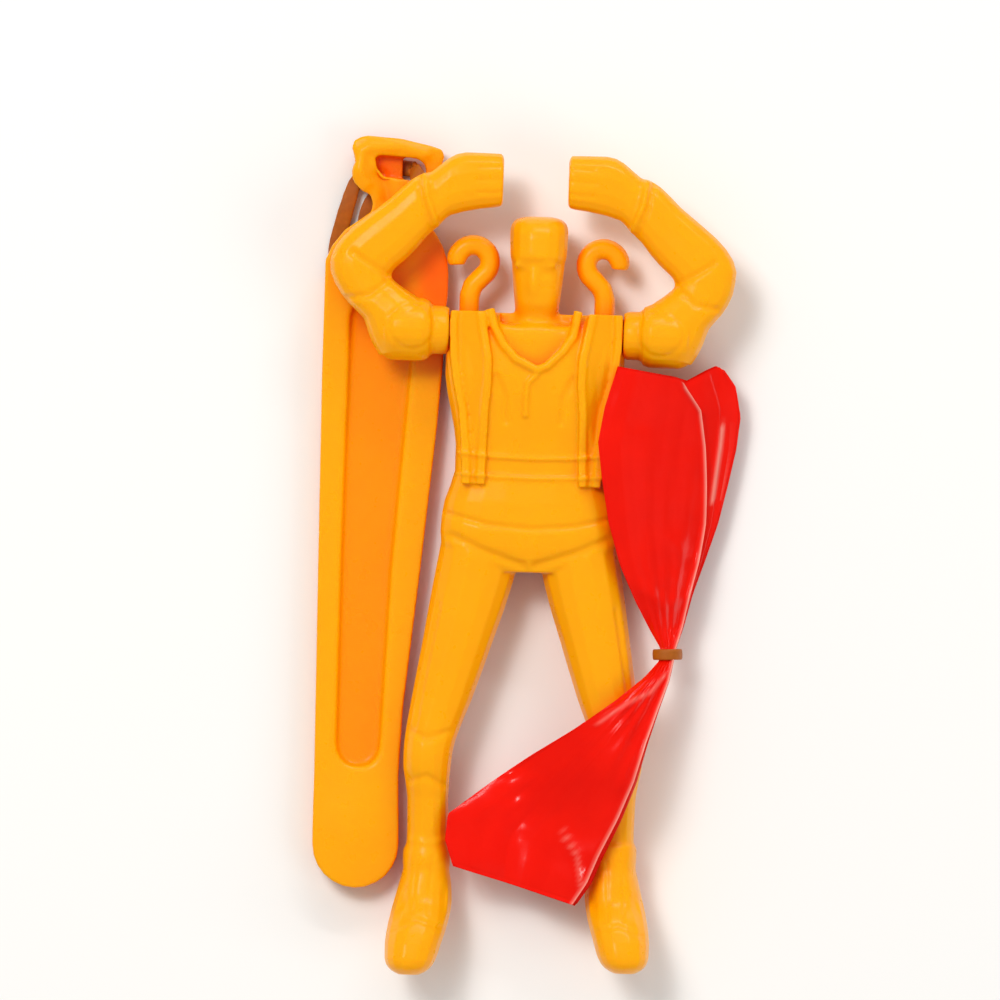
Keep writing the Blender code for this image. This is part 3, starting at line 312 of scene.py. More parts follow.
# Right fold of the uppermost layers: (row, share across), and how far the layers under
# them come back to it: (layers from the top, share of the way).
FILM_STEP = (
    (0, 0.545),
    (1, 0.69),
    (2, 0.756),
    (3, 0.807),
    (4, 0.86),
    (5, 0.9),
    (6, 0.92),
    (8, 0.94),
    (17, 0.94),
)
FILM_STEPS = ((4, 1), (6, 0.5), (8, 0.25))
# Rise of the uppermost layers at their right fold, and how far in it reaches, in metres.
FILM_ROLL = 0.0006
FILM_ROLL_WIDTH = 0.00035
# Fineness of the film: points along it, and across it in the lower and the upper layers.
FILM_RUNS = 101
FILM_COLUMNS = 13
FILM_FINE_COLUMNS = 61
FILM_FINE_LAYERS = 8
# Share by which the solid's pleats are evened out, over this many samples across.
FILM_PLEAT_EASE = 0.6
FILM_PLEAT_SPAN = 7
# Grid on which the solid is measured, and its margins in rows and in shares across.
FILM_SAMPLE_ROWS = 69
FILM_SAMPLE_COLUMNS = 23
FILM_SAMPLE_MARGINS = (0.2, 0.06)
# Creases in the upper layers: (height in mm, half width in mm, share of paling, which is
# painted highlight and the whitening of creased film, points as shares of the film's width
# and length from its neck).
FILM_CREASES = (
    (0.25, 0.3, 0.75, ((0.217, 0.795), (0.21, 0.72), (0.182, 0.535))),
    (0.35, 0.5, 0, ((-0.01, 0.4), (0.06, 0.34), (0.15, 0.3))),
    (0.3, 0.6, 0, ((-0.12, 0.22), (-0.02, 0.17), (0.08, 0.2))),
    (0.3, 0.5, 0.3, ((-0.01, -0.07), (-0.07, -0.13), (-0.18, -0.17), (-0.3, -0.24))),
    (0.35, 0.6, 0, ((0.0, -0.1), (-0.06, -0.2), (-0.13, -0.33), (-0.2, -0.46))),
    (0.25, 0.5, 0.3, ((0.01, -0.09), (-0.02, -0.2), (-0.09, -0.36), (-0.16, -0.54), (-0.25, -0.72))),
    (0.2, 0.5, 0.3, ((-0.45, -0.62), (-0.38, -0.7), (-0.36, -0.8))),
)
# Half width, in metres, of the pale highlight painted along each crease and along the rolled fold.
FILM_CREASE_WIDTH = 0.00022
# Crumple: rows that the neck's ridges reach, ridges across and their sway, noise patterns
# (waves across, waves per row, seed), heights in mm, and rows until the film opens.
GATHER_ROWS = 2.8
GATHER_RIDGES = 6.5
GATHER_SWAY = 0.35
GATHER_SWAY_PER_ROW = 0.9
DENT_PATTERN = (3.1, 0.42, 3.7)
CRINKLE_PATTERN = (8.3, 1.1, 9.1)
RIDGE_MM = 0.45
DENT_MM = 0.1
CRINKLE_MM = 0.05
OPENING_ROWS = 1.2
# Powers by which crumple and creases fade in the layers below.
CRUMPLE_FADE = 3
CREASE_FADE = 4


def linear(code):
    """Linear red, green, blue and alpha of an sRGB hex value."""
    parts = [int(code[place:place + 2], 16) / 255 for place in (1, 3, 5)]
    return (*[c / 12.92 if c <= 0.04045 else ((c + 0.055) / 1.055) ** 2.4 for c in parts], 1)


def add_node(tree, kind, settings=(), links=()):
    """A shader node with its settings and its incoming links."""
    node = tree.nodes.new(kind)
    for name, value in dict(settings).items():
        if name in node.inputs:
            node.inputs[name].default_value = value
        else:
            setattr(node, name, value)
    for name, source in dict(links).items():
        tree.links.new(source, node.inputs[name])
    return node


def new_material(name, surface):
    """A material with these inputs of its principled shader."""
    material = bpy.data.materials.new(name)
    material.use_nodes = True
    shader = material.node_tree.nodes["Principled BSDF"]
    for key, value in surface.items():
        shader.inputs[key].default_value = value
    return material, material.node_tree, shader


def noise_on(tree, place, **settings):
    """Strength of a noise pattern at each place."""
    return add_node(tree, "ShaderNodeTexNoise", settings, {"Vector": place}).outputs["Fac"]


def mapped(tree, value, **settings):
    """A value taken from one range to another; the names use _ for a space."""
    ranges = {name.replace("_", " "): number for name, number in settings.items()}
    return add_node(tree, "ShaderNodeMapRange", ranges, {"Value": value}).outputs["Result"]


def mixed(tree, share, first, second):
    """A colour between two, each of them a colour or a node's output."""
    mix = add_node(tree, "ShaderNodeMix", {"data_type": "RGBA"}, {"Factor": share})
    for socket, colour in ((MIX_FIRST, first), (MIX_SECOND, second)):
        if isinstance(colour, bpy.types.NodeSocket):
            tree.links.new(colour, mix.inputs[socket])
        else:
            mix.inputs[socket].default_value = colour
    return mix.outputs[MIX_RESULT]


def bumped(tree, height, strength, distance, under=None):
    """A normal bent by a height pattern, on top of another normal if one is given."""
    links = {"Height": height}
    if under is not None:
        links["Normal"] = under
    settings = {"Strength": strength, "Distance": distance}
    return add_node(tree, "ShaderNodeBump", settings, links).outputs["Normal"]


def injection_moulded_plastic(yellow, shade, painted_shade_colour):
    """Unfilled injection-moulded polyethylene: glossy, and light sinks a little way in."""
    material, tree, shader = new_material("injection_moulded_polyethylene", PLASTIC_SURFACE)
    place = add_node(tree, "ShaderNodeTexCoord").outputs["Object"]
    # Flow of the colour in the melt: cloudy patches about 6 mm across.
    cloud = noise_on(tree, place, Scale=160, Detail=3, Roughness=0.5)
    melt = mixed(tree, cloud, yellow, shade)
    # Painted shade: an occlusion test within 4 mm mixes the colour towards the deep orange of the hollows.
    # It stands in for shade in hollows and recesses, which light that has gone to and fro in the coloured
    # plastic makes redder.
    shade_occlusion = add_node(tree, "ShaderNodeAmbientOcclusion", {"samples": 8, "Distance": 0.004})
    depth = mapped(tree, shade_occlusion.outputs["AO"], From_Min=0.1, From_Max=0.8)
    # Painted shade as well: the launcher's recess, its slot floor and one spot at its shoulder carry a
    # painted shade attribute, and there the colour goes deeper still.
    painted_recess_shade = add_node(tree, "ShaderNodeAttribute", {"attribute_name": "painted_recess_shade"})
    recess_shade_share = mapped(tree, painted_recess_shade.outputs["Fac"], To_Min=1, To_Max=0.1)
    open_share = add_node(tree, "ShaderNodeMath", {"operation": "MULTIPLY"}, {0: depth, 1: recess_shade_share})
    # Painted shade: the melt colour where nothing is near, the deep orange in hollows and in the launcher's
    # painted recess shade.
    shaded_base_colour = mixed(tree, open_share.outputs["Value"], painted_shade_colour, melt)
    tree.links.new(shaded_base_colour, shader.inputs["Base Color"])
    # Skin of the moulding: low waves 1.5 mm apart and a fine 0.25 mm texture.
    waves = noise_on(tree, place, Scale=650, Detail=2)
    grain = noise_on(tree, place, Scale=4000, Detail=1)
    low = bumped(tree, waves, strength=0.1, distance=0.0003)
    fine = bumped(tree, grain, strength=0.12, distance=0.00004, under=low)
    tree.links.new(fine, shader.inputs["Normal"])
    tree.links.new(mapped(tree, waves, To_Min=0.24, To_Max=0.34), shader.inputs["Roughness"])
    return material


def blown_film(red, fold, pale):
    """Blown polyethylene film, folded: shiny, with fine crackle where it was pressed."""
    material, tree, shader = new_material("blown_polyethylene_film", FILM_SURFACE)
    place = add_node(tree, "ShaderNodeTexCoord").outputs["Object"]
    cloud = noise_on(tree, place, Scale=220, Detail=4)
    # Pale colour painted along sharp creases and along the rolled fold: partly the whitening of sharply
    # folded film, partly a painted highlight.
    crease_highlight = add_node(tree, "ShaderNodeAttribute", {"attribute_name": "crease_highlight"})
    highlight_paling = mapped(tree, crease_highlight.outputs["Fac"], To_Max=0.6)
    highlight_paled = mixed(tree, highlight_paling, mixed(tree, cloud, red, fold), pale)
    tree.links.new(highlight_paled, shader.inputs["Base Color"])
    # Crinkles: broad dents about 5 mm apart, crossed by fine crackle lines.
    dents = noise_on(tree, place, Scale=210, Detail=2, Distortion=0.6)
    crackle = add_node(
        tree, "ShaderNodeTexVoronoi", {"feature": "DISTANCE_TO_EDGE", "Scale": 900}, {"Vector": place}
    )
    edge = mapped(tree, crackle.outputs["Distance"], From_Max=0.12, To_Max=1.0)
    broad = bumped(tree, dents, strength=0.22, distance=0.0005)
    fine = bumped(tree, edge, strength=0.04, distance=0.00008, under=broad)
    tree.links.new(fine, shader.inputs["Normal"])
    return material


def pure_gum_rubber(brown, dark):
    """Unfilled gum rubber strip: warm brown, half matt, powdered."""
    material, tree, shader = new_material("gum_rubber_strip", RUBBER_SURFACE)
    place = add_node(tree, "ShaderNodeTexCoord").outputs["Object"]
    powder = noise_on(tree, place, Scale=1500, Detail=3)
    tree.links.new(mixed(tree, powder, brown, dark), shader.inputs["Base Color"])
    skin = bumped(tree, powder, strength=0.25, distance=0.00006)
    tree.links.new(skin, shader.inputs["Normal"])
    return material


def link(item):
    """Put an object in the scene's main collection."""
    bpy.context.scene.collection.objects.link(item)
    return item


def copy_of(name, node):
    """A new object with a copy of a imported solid's mesh."""
    return link(bpy.data.objects.new(name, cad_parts[node].data.copy()))


def baked(item):
    """Work an object's modifiers into its mesh."""
    bpy.context.view_layer.update()
    depsgraph = bpy.context.evaluated_depsgraph_get()
    mesh = bpy.data.meshes.new_from_object(item.evaluated_get(depsgraph))
    item.modifiers.clear()
    item.data = mesh
    return item


def softened(item, voxel, passes):
    """One even skin over the piece, relaxed until its edges are as round as moulded ones.

    The second smoothing pushes back out what the first drew in, so the piece keeps its size.
    """
    skin = item.modifiers.new("skin", "REMESH")
    skin.mode = "VOXEL"
    skin.voxel_size = voxel
    for name, factor, count in (("relax", RELAX, EDGE_PASSES + passes), ("refill", REFILL, passes)):
        step = item.modifiers.new(name, "SMOOTH")
        step.factor = factor
        step.iterations = count
    return baked(item)


def relax_patch(item, center, half, passes):
    """Relax one oval patch of the front further, in full only in its inner half."""
    points = read_points(item.data)[0]
    away = np.hypot((points[:, 0] - center[0]) / half[0], (points[:, 1] - center[1]) / half[1])
    front = np.interp(points[:, 2] / MM, SOFT_FROM_MM, (0, 1))
    relax_where(item, np.clip(2 - 2 * away, 0, 1) * front, passes)


def relax_where(item, weights, passes):
    """Relax a piece further as far as each vertex's weight says."""
    group = item.vertex_groups.new(name="patch")
    for spot in np.flatnonzero(weights > 0):
        group.add([int(spot)], float(weights[spot]), "REPLACE")
    relax = item.modifiers.new("relax", "SMOOTH")
    relax.vertex_group = group.name
    relax.iterations = passes
    baked(item)
    item.vertex_groups.clear()


def read_points(mesh):
    """Vertex places and normals as arrays."""
    points = np.empty(len(mesh.vertices) * 3)
    mesh.vertices.foreach_get("co", points)
    normals = np.empty(len(mesh.vertices) * 3)
    mesh.vertices.foreach_get("normal", normals)
    return points.reshape(-1, 3), normals.reshape(-1, 3)


def write_points(mesh, points):
    """Store moved vertex places."""
    mesh.vertices.foreach_set("co", points.ravel())
    mesh.update()


def facing(normals):
    """How far each vertex faces the front, from 0 to 1."""
    return np.clip((normals[:, 2] - FRONT_START) / FRONT_SPAN, 0, 1)


def press_blob(points, normals, center, half, height):
    """Raise or sink a soft oval in the front."""
    across = (points[:, 0] - center[0]) / half[0]
    along = (points[:, 1] - center[1]) / half[1]
    weight = np.exp(-(across ** 2 + along ** 2)) * facing(normals)
    points += normals * (weight * height)[:, None]


def line_distance(points, line):
    """Distance in plan from each vertex to a run of points."""
    nearest = np.full(len(points), np.inf)
    for first, second in zip(line, line[1:]):
        step = np.subtract(second, first)
        share = np.clip(((points[:, :2] - first) @ step) / (step @ step), 0, 1)
        spot = np.asarray(first) + share[:, None] * step
        nearest = np.minimum(nearest, np.hypot(*(points[:, :2] - spot).T))
    return nearest


def press_line(points, normals, line, half_width, height):
    """Raise or sink the front along a run of plan points."""
    weight = np.exp(-(line_distance(points, line) / half_width) ** 2) * facing(normals)
    points += normals * (weight * height)[:, None]


def figure_spot(across, along):
    """Plan point from shares of the figure's half width and height."""
    middle = (FIGURE_LOW.x + FIGURE_HIGH.x) / 2
    half = (FIGURE_HIGH.x - FIGURE_LOW.x) / 2
    return middle + across * half, FIGURE_LOW.y + along * (FIGURE_HIGH.y - FIGURE_LOW.y)


def figure_half(across, along):
    """Half sizes from shares of the figure's half width and height."""
    return across * (FIGURE_HIGH.x - FIGURE_LOW.x) / 2, along * (FIGURE_HIGH.y - FIGURE_LOW.y)


def launcher_spot(across, along):
    """Plan point from shares of the launcher's width and height from its lower left corner."""
    return LAUNCHER_LOW.x + across * LAUNCHER_SIZE.x, LAUNCHER_LOW.y + along * LAUNCHER_SIZE.y


def figure_lines(table, sides):
    """Lines of a table as plan points, on the sides asked for."""
    for height, half_width, shares in table:
        for side in sides:
            line = [figure_spot(side * across, along) for across, along in shares]
            yield line, half_width * MM, height * MM


def finish_piece(item, node, body, material):
    """Dress a new piece, put it in place of its solid and let it ride on its body."""
    item.data.materials.clear()
    item.data.materials.append(material)
    item.data.polygons.foreach_set("use_smooth", [True] * len(item.data.polygons))
    item.data.update()
    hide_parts(node)
    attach(item, body)


def plastic():
    """The yellow moulded plastic, made once."""
    made = bpy.data.materials.get("injection_moulded_polyethylene")
    colours = bpy.context.scene.toy_set_colours
    return made or injection_moulded_plastic(
        (*colours.plastic, 1), (*colours.plastic_shade, 1), (*colours.plastic_painted_shade, 1)
    )


def rubber():
    """The brown strip rubber, made once."""
    made = bpy.data.materials.get("gum_rubber_strip")
    colours = bpy.context.scene.toy_set_colours
    return made or pure_gum_rubber((*colours.rubber, 1), (*colours.rubber_dark, 1))


def colour_value(name, description, code):
    """A colour of the set, first given as an sRGB hex value."""
    return bpy.props.FloatVectorProperty(
        name=name, description=description, subtype="COLOR", default=linear(code)[:3]
    )


def spacing_value(name, description, spacing):
    """A spacing of a skin's points, in metres."""
    return bpy.props.FloatProperty(
        name=name, description=description, default=spacing, unit="LENGTH", precision=5
    )


class ToySetColours(bpy.types.PropertyGroup):
    """Colours of the set."""

    plastic: colour_value("Plastic", "Lit colour of the mouldings", "#FFAC00")
    plastic_shade: colour_value("Plastic, deeper", "Deeper patches in the mouldings", "#FFA400")
    # Painted shade: the deep orange that hollows and recesses of the mouldings are painted with.
    plastic_painted_shade: colour_value("Plastic, hollows", "Colour in the hollows of the mouldings", "#FF6400")
    film: colour_value("Film", "Colour of the canopy", "#FF1400")
    # Painted highlight: the pale colour painted along sharp creases, which also stands for the whitening of
    # creased film.
    film_fold: colour_value("Film, deeper", "Deeper patches in the folded film", "#F00C00")
    film_crease_highlight: colour_value("Film, creases", "Colour of sharp creases in the film", "#FFC8B4")
    rubber: colour_value("Rubber", "Colour of the rubber pieces", "#BA640A")
    rubber_dark: colour_value("Rubber, darker", "Darker patches in the rubber", "#9A5008")
    floor: colour_value("Floor", "Colour of the floor", "#F4F2EE")


class ToySetSizes(bpy.types.PropertyGroup):
    """Fineness and thickness of the pieces."""

    body_voxel: spacing_value("Figure detail", "Spacing of the figure's skin", BODY_VOXEL)
    limb_voxel: spacing_value("Arm and hook detail", "Spacing of the arms' and hooks' skin", LIMB_VOXEL)
    launcher_voxel: spacing_value("Launcher detail", "Spacing of the launcher's skin", LAUNCHER_VOXEL)
    film_layers: bpy.props.IntProperty(
        name="Film layers", description="Layers in the folded canopy", default=FILM_LAYERS, min=12
    )


class TOYSET_OT_figure(bpy.types.Operator):
    """Head, torso, legs and boots with face, harness and clothing detail"""

    bl_idname = "toyset.figure"
    bl_label = "Figure"

    def execute(self, context):
        sizes = context.scene.toy_set_sizes
        body = softened(copy_of("figure", "figure_body"), sizes.body_voxel, SKIN_PASSES)
        for across, along, half_across, half_along, passes in SOFT_PATCHES:
            relax_patch(body, figure_spot(across, along), figure_half(half_across, half_along), passes)
        points, normals = read_points(body.data)
        for across, along, half_across, half_along, height in FIGURE_BLOBS:
            half = figure_half(half_across, half_along)
            press_blob(points, normals, figure_spot(across, along), half, height * MM)
        for line, half_width, height in figure_lines(MIDDLE_LINES, (1,)):
            press_line(points, normals, line, half_width, height)
        for line, half_width, height in figure_lines(SIDE_LINES, (-1, 1)):
            press_line(points, normals, line, half_width, height)
        write_points(body.data, points)
        finish_piece(body, "figure_body", "figure", plastic())
        return {"FINISHED"}


class TOYSET_OT_arms(bpy.types.Operator):
    """Both raised arms with cuffs, elbow folds and fingers"""

    bl_idname = "toyset.arms"
    bl_label = "Arms"

    def execute(self, context):
        sizes = context.scene.toy_set_sizes
        for side, name, lean in ((-1, "left_arm", LEFT_ARM_LEAN), (1, "right_arm", 0)):
            arm = softened(copy_of(name + "_moulding", name), sizes.limb_voxel, SKIN_PASSES)
            points, normals = read_points(arm.data)
            for line, half_width, height in figure_lines(ARM_LINES, (side,)):
                line = [(x + lean, y) for x, y in line]
                press_line(points, normals, line, half_width, height)
            center = figure_spot(side * SHOULDER_MARK[0], SHOULDER_MARK[1])
            away = np.hypot(points[:, 0] - center[0], points[:, 1] - center[1]) / MM
            dome = SHOULDER_DOME_MM * np.exp(-(away / SHOULDER_MARK_RADIUS_MM) ** PLATEAU_POWER)
            from_groove = (away - SHOULDER_MARK_RADIUS_MM) / SHOULDER_GROOVE_HALF_WIDTH_MM
            groove = SHOULDER_GROOVE_MM * np.exp(-from_groove ** 2)
            points += normals * ((dome - groove) * MM * facing(normals))[:, None]
            radius = np.hypot(points[:, 1] - HUB_AXIS[0], points[:, 2] - HUB_AXIS[1])
            on_face = np.interp(radius, *np.transpose(COLLAR_PROFILE))
            points[:, 0] -= side * COLLAR_RISE * on_face * np.clip(-side * normals[:, 0], 0, 1)
            write_points(arm.data, points)
            finish_piece(arm, name, name, plastic())
        return {"FINISHED"}


class TOYSET_OT_hooks(bpy.types.Operator):
    """Open line hooks on the shoulders"""

    bl_idname = "toyset.hooks"
    bl_label = "Hooks"

    def execute(self, context):
        sizes = context.scene.toy_set_sizes
        for name in ("left_hook", "right_hook"):
            hook = softened(copy_of(name + "_moulding", name), sizes.limb_voxel, SKIN_PASSES)
            finish_piece(hook, name, "figure", plastic())
        return {"FINISHED"}


class TOYSET_OT_launcher(bpy.types.Operator):
    """Paddle-shaped launcher"""

    bl_idname = "toyset.launcher"
    bl_label = "Launcher"

    def execute(self, context):
        sizes = context.scene.toy_set_sizes
        solid = copy_of("launcher_moulding", "launcher_handle")
        handle = softened(solid, sizes.launcher_voxel, SKIN_PASSES)
        rim = [launcher_spot(*spot) for spot in RECESS_EDGE]
        edge = line_distance(read_points(handle.data)[0], rim)
        relax_where(handle, np.exp(-(edge / (RECESS_EDGE_WIDTH_MM * MM)) ** 2), RECESS_EDGE_PASSES)
        points, normals = read_points(handle.data)
        for across, along, half_across, half_along, height in LAUNCHER_BLOBS:
            half = (half_across * LAUNCHER_SIZE.x, half_along * LAUNCHER_SIZE.y)
            press_blob(points, normals, launcher_spot(across, along), half, height * MM)
        for height, half_width, shares in LAUNCHER_LINES:
            line = [launcher_spot(across, along) for across, along in shares]
            press_line(points, normals, line, half_width * MM, height * MM)
        write_points(handle.data, points)
        # Painted shade: deeper the further below the rim, and in full in one spot at the shoulder.
        recess_shade_share = np.interp((LAUNCHER_HIGH.z - points[:, 2]) / MM, *np.transpose(PAINTED_SHADE_BELOW_RIM))
        across, along, half_across, half_along = PAINTED_SHADE_SPOT
        spot = launcher_spot(across, along)
        away = np.hypot(
            (points[:, 0] - spot[0]) / (half_across * LAUNCHER_SIZE.x),
            (points[:, 1] - spot[1]) / (half_along * LAUNCHER_SIZE.y),
        )
        recess_shade_share = np.maximum(recess_shade_share, np.exp(-away ** PLATEAU_POWER)) * facing(normals)
        handle.data.attributes.new("painted_recess_shade", "FLOAT", "POINT").data.foreach_set("value", recess_shade_share)
        finish_piece(handle, "launcher_handle", "launcher", plastic())
        return {"FINISHED"}


def ease_loop(mesh):
    """Let the loop's free run slip in under the launcher's head."""
    points = read_points(mesh)[0]
    across = (points[:, 0] - LAUNCHER_LOW.x) / LAUNCHER_SIZE.x
    along = (points[:, 1] - LAUNCHER_LOW.y) / LAUNCHER_SIZE.y
    share = np.interp(across, LOOP_FADE, (1, 0))
    places, right, down = np.transpose(LOOP_SHIFT)
    points[:, 0] += share * np.interp(along, places, right) * MM
    points[:, 2] -= share * np.interp(along, places, down) * MM
    write_points(mesh, points)


class TOYSET_OT_rubber(bpy.types.Operator):
    """Rubber loop of the launcher and rubber tie of the canopy"""

    bl_idname = "toyset.rubber"
    bl_label = "Rubber pieces"

    def execute(self, context):
        for name, node, body in (
            ("launcher_loop", "launcher_band", "launcher"),
            ("canopy_tie_ring", "canopy_tie", "canopy"),
        ):
            strip = copy_of(name, node)
            for mark in ("sharp_edge", "custom_normal"):
                if mark in strip.data.attributes:
                    strip.data.attributes.remove(strip.data.attributes[mark])
            weld = strip.modifiers.new("weld", "WELD")
            weld.merge_threshold = WELD_REACH
            round_off = strip.modifiers.new("round_off", "SUBSURF")
            round_off.levels = ROUNDING_LEVELS
            round_off.render_levels = ROUNDING_LEVELS
            baked(strip)
            if node == "launcher_band":
                ease_loop(strip.data)
            finish_piece(strip, node, body, rubber())
        return {"FINISHED"}


def film_plan(rows, shares):
    """Plan places on the folded film for rows and shares across it."""
    steps = np.arange(len(FILM_ROWS))
    columns = np.transpose(FILM_ROWS)
    left_x, left_y, right_x, right_y = [np.interp(rows, steps, column) for column in columns]
    lift = np.interp(shares, *np.transpose(FILM_TOP_EDGE)) * np.maximum(0, 1 - rows / FILM_TOP_ROWS)
    x = FILM_NECK[0] + (left_x + (right_x - left_x) * shares) * FILM_WIDTH
    y = FILM_NECK[1] + (left_y + (right_y - left_y) * shares + lift) * FILM_LENGTH
    return x, y


def film_samples():
    """Rows and shares at which the folded solid is measured."""
    last = len(FILM_ROWS) - 1
    rows = np.linspace(FILM_SAMPLE_MARGINS[0], last - FILM_SAMPLE_MARGINS[0], FILM_SAMPLE_ROWS)
    shares = np.linspace(FILM_SAMPLE_MARGINS[1], 1 - FILM_SAMPLE_MARGINS[1], FILM_SAMPLE_COLUMNS)
    return rows, shares


def film_heights(solid):
    """Lowest and highest surface of the folded solid on the sample grid, pleats evened out."""
    tree = BVHTree.FromPolygons(
        [solid.matrix_world @ spot.co for spot in solid.data.vertices],
        [tuple(face.vertices) for face in solid.data.polygons],
    )
    rows, shares = np.meshgrid(*film_samples(), indexing="ij")
    low, top = np.zeros(rows.shape), np.zeros(rows.shape)
    for spot, (x, y) in enumerate(zip(*[part.ravel() for part in film_plan(rows, shares)])):
        above = tree.ray_cast(Vector((x, y, 1)), Vector((0, 0, -1)))[0]
        below = tree.ray_cast(Vector((x, y, -1)), Vector((0, 0, 1)))[0]
        if above is None or below is None:
            raise RuntimeError("the folded film has no solid under row %.2f" % rows.flat[spot])
        low.flat[spot], top.flat[spot] = below.z, above.z
    eased = top.copy()
    reach = FILM_PLEAT_SPAN // 2
    for column in range(top.shape[1]):
        eased[:, column] = top[:, max(0, column - reach):column + reach + 1].mean(axis=1)
    return low, top + (eased - top) * FILM_PLEAT_EASE


def read_grid(grid, rows, shares):
    """Values between the points of the sample grid."""
    sample_rows, sample_shares = film_samples()
    i = np.interp(rows, sample_rows, np.arange(len(sample_rows)))
    j = np.interp(shares, sample_shares, np.arange(len(sample_shares)))
    a = np.minimum(i.astype(int), len(sample_rows) - 2)
    b = np.minimum(j.astype(int), len(sample_shares) - 2)
    u, v = i - a, j - b
    first = grid[a, b] * (1 - v) + grid[a, b + 1] * v
    second = grid[a + 1, b] * (1 - v) + grid[a + 1, b + 1] * v
    return first * (1 - u) + second * u


def wandering(layer, base, wander):
    """A value that differs a little from layer to layer."""
    swing, turn, start = wander
    return base + swing * abs(math.sin(layer * turn + start))


def fold_edges(layer, layers, rows):
    """Left and right fold of one layer; the uppermost ones are stepped back."""
    left = wandering(layer, LEFT_FOLD, LEFT_FOLD_WANDER)
    right = np.full(len(rows), wandering(layer, RIGHT_FOLD, RIGHT_FOLD_WANDER))
    for depth, share in FILM_STEPS:
        if layers - 1 - layer < depth:
            return left, right + (np.interp(rows, *np.transpose(FILM_STEP)) - right) * share
    return left, right


def film_noise(row, across, pattern):
    """Noise on the film in one of its patterns."""
    return noise.noise(Vector((across * pattern[0], row * pattern[1], pattern[2])))


def film_crumple(row, across):
    """Height of the crumple: ridges running to the neck and low dents between them."""
    away = abs(row - FILM_NECK_ROW)
    gather = math.exp(-((away / GATHER_ROWS) ** 2))
    sway = GATHER_SWAY * math.sin(row * GATHER_SWAY_PER_ROW)
    ridges = abs((across * GATHER_RIDGES + sway) % 1 - 0.5) - 0.25
    dents = film_noise(row, across, DENT_PATTERN)
    crinkles = film_noise(row, across, CRINKLE_PATTERN)
    bow = math.sin(math.pi * min(max(across, 0), 1))
    open_share = min(1, away / OPENING_ROWS)
    height = RIDGE_MM * gather * ridges + DENT_MM * dents + CRINKLE_MM * crinkles
    return height * bow * open_share * MM


def press_creases(points, pale, level):
    """Raise the creases in one layer and note where a pale highlight is painted along them."""
    for height, half_width, highlight_paling, line in FILM_CREASES:
        line = [(FILM_NECK[0] + a * FILM_WIDTH, FILM_NECK[1] + b * FILM_LENGTH) for a, b in line]
        away = line_distance(points, line)
        rise = height * MM * level ** CREASE_FADE
        points[:, 2] += rise * np.exp(-(away / (half_width * MM)) ** 2)
        pale = np.maximum(pale, highlight_paling * np.exp(-(away / FILM_CREASE_WIDTH) ** 2))
    return pale


def film_layer(layer, layers, low, top):
    """Points of one layer, row by row from its first fold to its second, and where a pale highlight is
    painted on them.
    """
    last = len(FILM_ROWS) - 1
    first_row = wandering(layer, 0, FIRST_ROW_WANDER)
    last_row = wandering(layer, last, LAST_ROW_WANDER)
    rows = np.linspace(first_row, last_row, FILM_RUNS)
    above = layers - 1 - layer
    count = FILM_FINE_COLUMNS if above < FILM_FINE_LAYERS else FILM_COLUMNS
    left, right = fold_edges(layer, layers, rows)
    steps = np.linspace(0, 1, count) if layer % 2 == 0 else np.linspace(1, 0, count)
    shares = left + (right - left)[:, None] * steps
    rows = np.repeat(rows[:, None], count, axis=1)
    x, y = film_plan(rows, shares)
    level = (layer + 0.5) / layers
    z_low, z_top = read_grid(low, rows, shares), read_grid(top, rows, shares)
    z = z_low + (z_top - z_low) * level
    z += np.vectorize(film_crumple)(rows, shares) * level ** CRUMPLE_FADE
    pale = np.zeros(z.shape)
    if above < FILM_STEPS[0][0]:
        edge = steps.argmax()
        away = np.hypot(x - x[:, edge:edge + 1], y - y[:, edge:edge + 1])
        z += FILM_ROLL * np.exp(-(away / FILM_ROLL_WIDTH) ** 2)
        # Pale highlight painted along the rolled fold of the uppermost layers.
        pale = np.exp(-(away / FILM_CREASE_WIDTH) ** 2)
    points = np.stack([x, y, z], axis=2)
    return points, press_creases(points.reshape(-1, 3), pale.ravel(), level)


class TOYSET_OT_canopy(bpy.types.Operator):
    """Canopy: one film, folded to and fro and gathered in its rubber tie"""

    bl_idname = "toyset.canopy"
    bl_label = "Canopy"

    def execute(self, context):
        layers = context.scene.toy_set_sizes.film_layers
        low, top = film_heights(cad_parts["canopy"])
        points, faces, crease_highlight_layers, total, fold = [], [], [], 0, None
        for layer in range(layers):
            grid, pale = film_layer(layer, layers, low, top)
            crease_highlight_layers.append(pale)
            place = total + np.arange(grid.shape[0] * grid.shape[1]).reshape(grid.shape[:2])
            corners = (place[:-1, :-1], place[:-1, 1:], place[1:, 1:], place[1:, :-1])
            faces.append(np.stack(corners, axis=2).reshape(-1, 4))
            if fold is not None:
                faces.append(np.stack((fold[:-1], place[:-1, 0], place[1:, 0], fold[1:]), axis=1))
            fold = place[:, -1]
            total += place.size
            points.append(grid.reshape(-1, 3))
        mesh = bpy.data.meshes.new("folded_canopy")
        mesh.from_pydata(np.concatenate(points).tolist(), [], np.concatenate(faces).tolist())
        # The pale crease highlight goes to the film's material as a point attribute.
        crease_highlight = mesh.attributes.new("crease_highlight", "FLOAT", "POINT")
        crease_highlight.data.foreach_set("value", np.concatenate(crease_highlight_layers))
        film = link(bpy.data.objects.new("folded_canopy", mesh))
        colours = context.scene.toy_set_colours
        material = blown_film((*colours.film, 1), (*colours.film_fold, 1), (*colours.film_crease_highlight, 1))
        finish_piece(film, "canopy", "canopy", material)
        mesh.set_sharp_from_angle(angle=math.radians(FILM_SHARP_DEG))
        return {"FINISHED"}


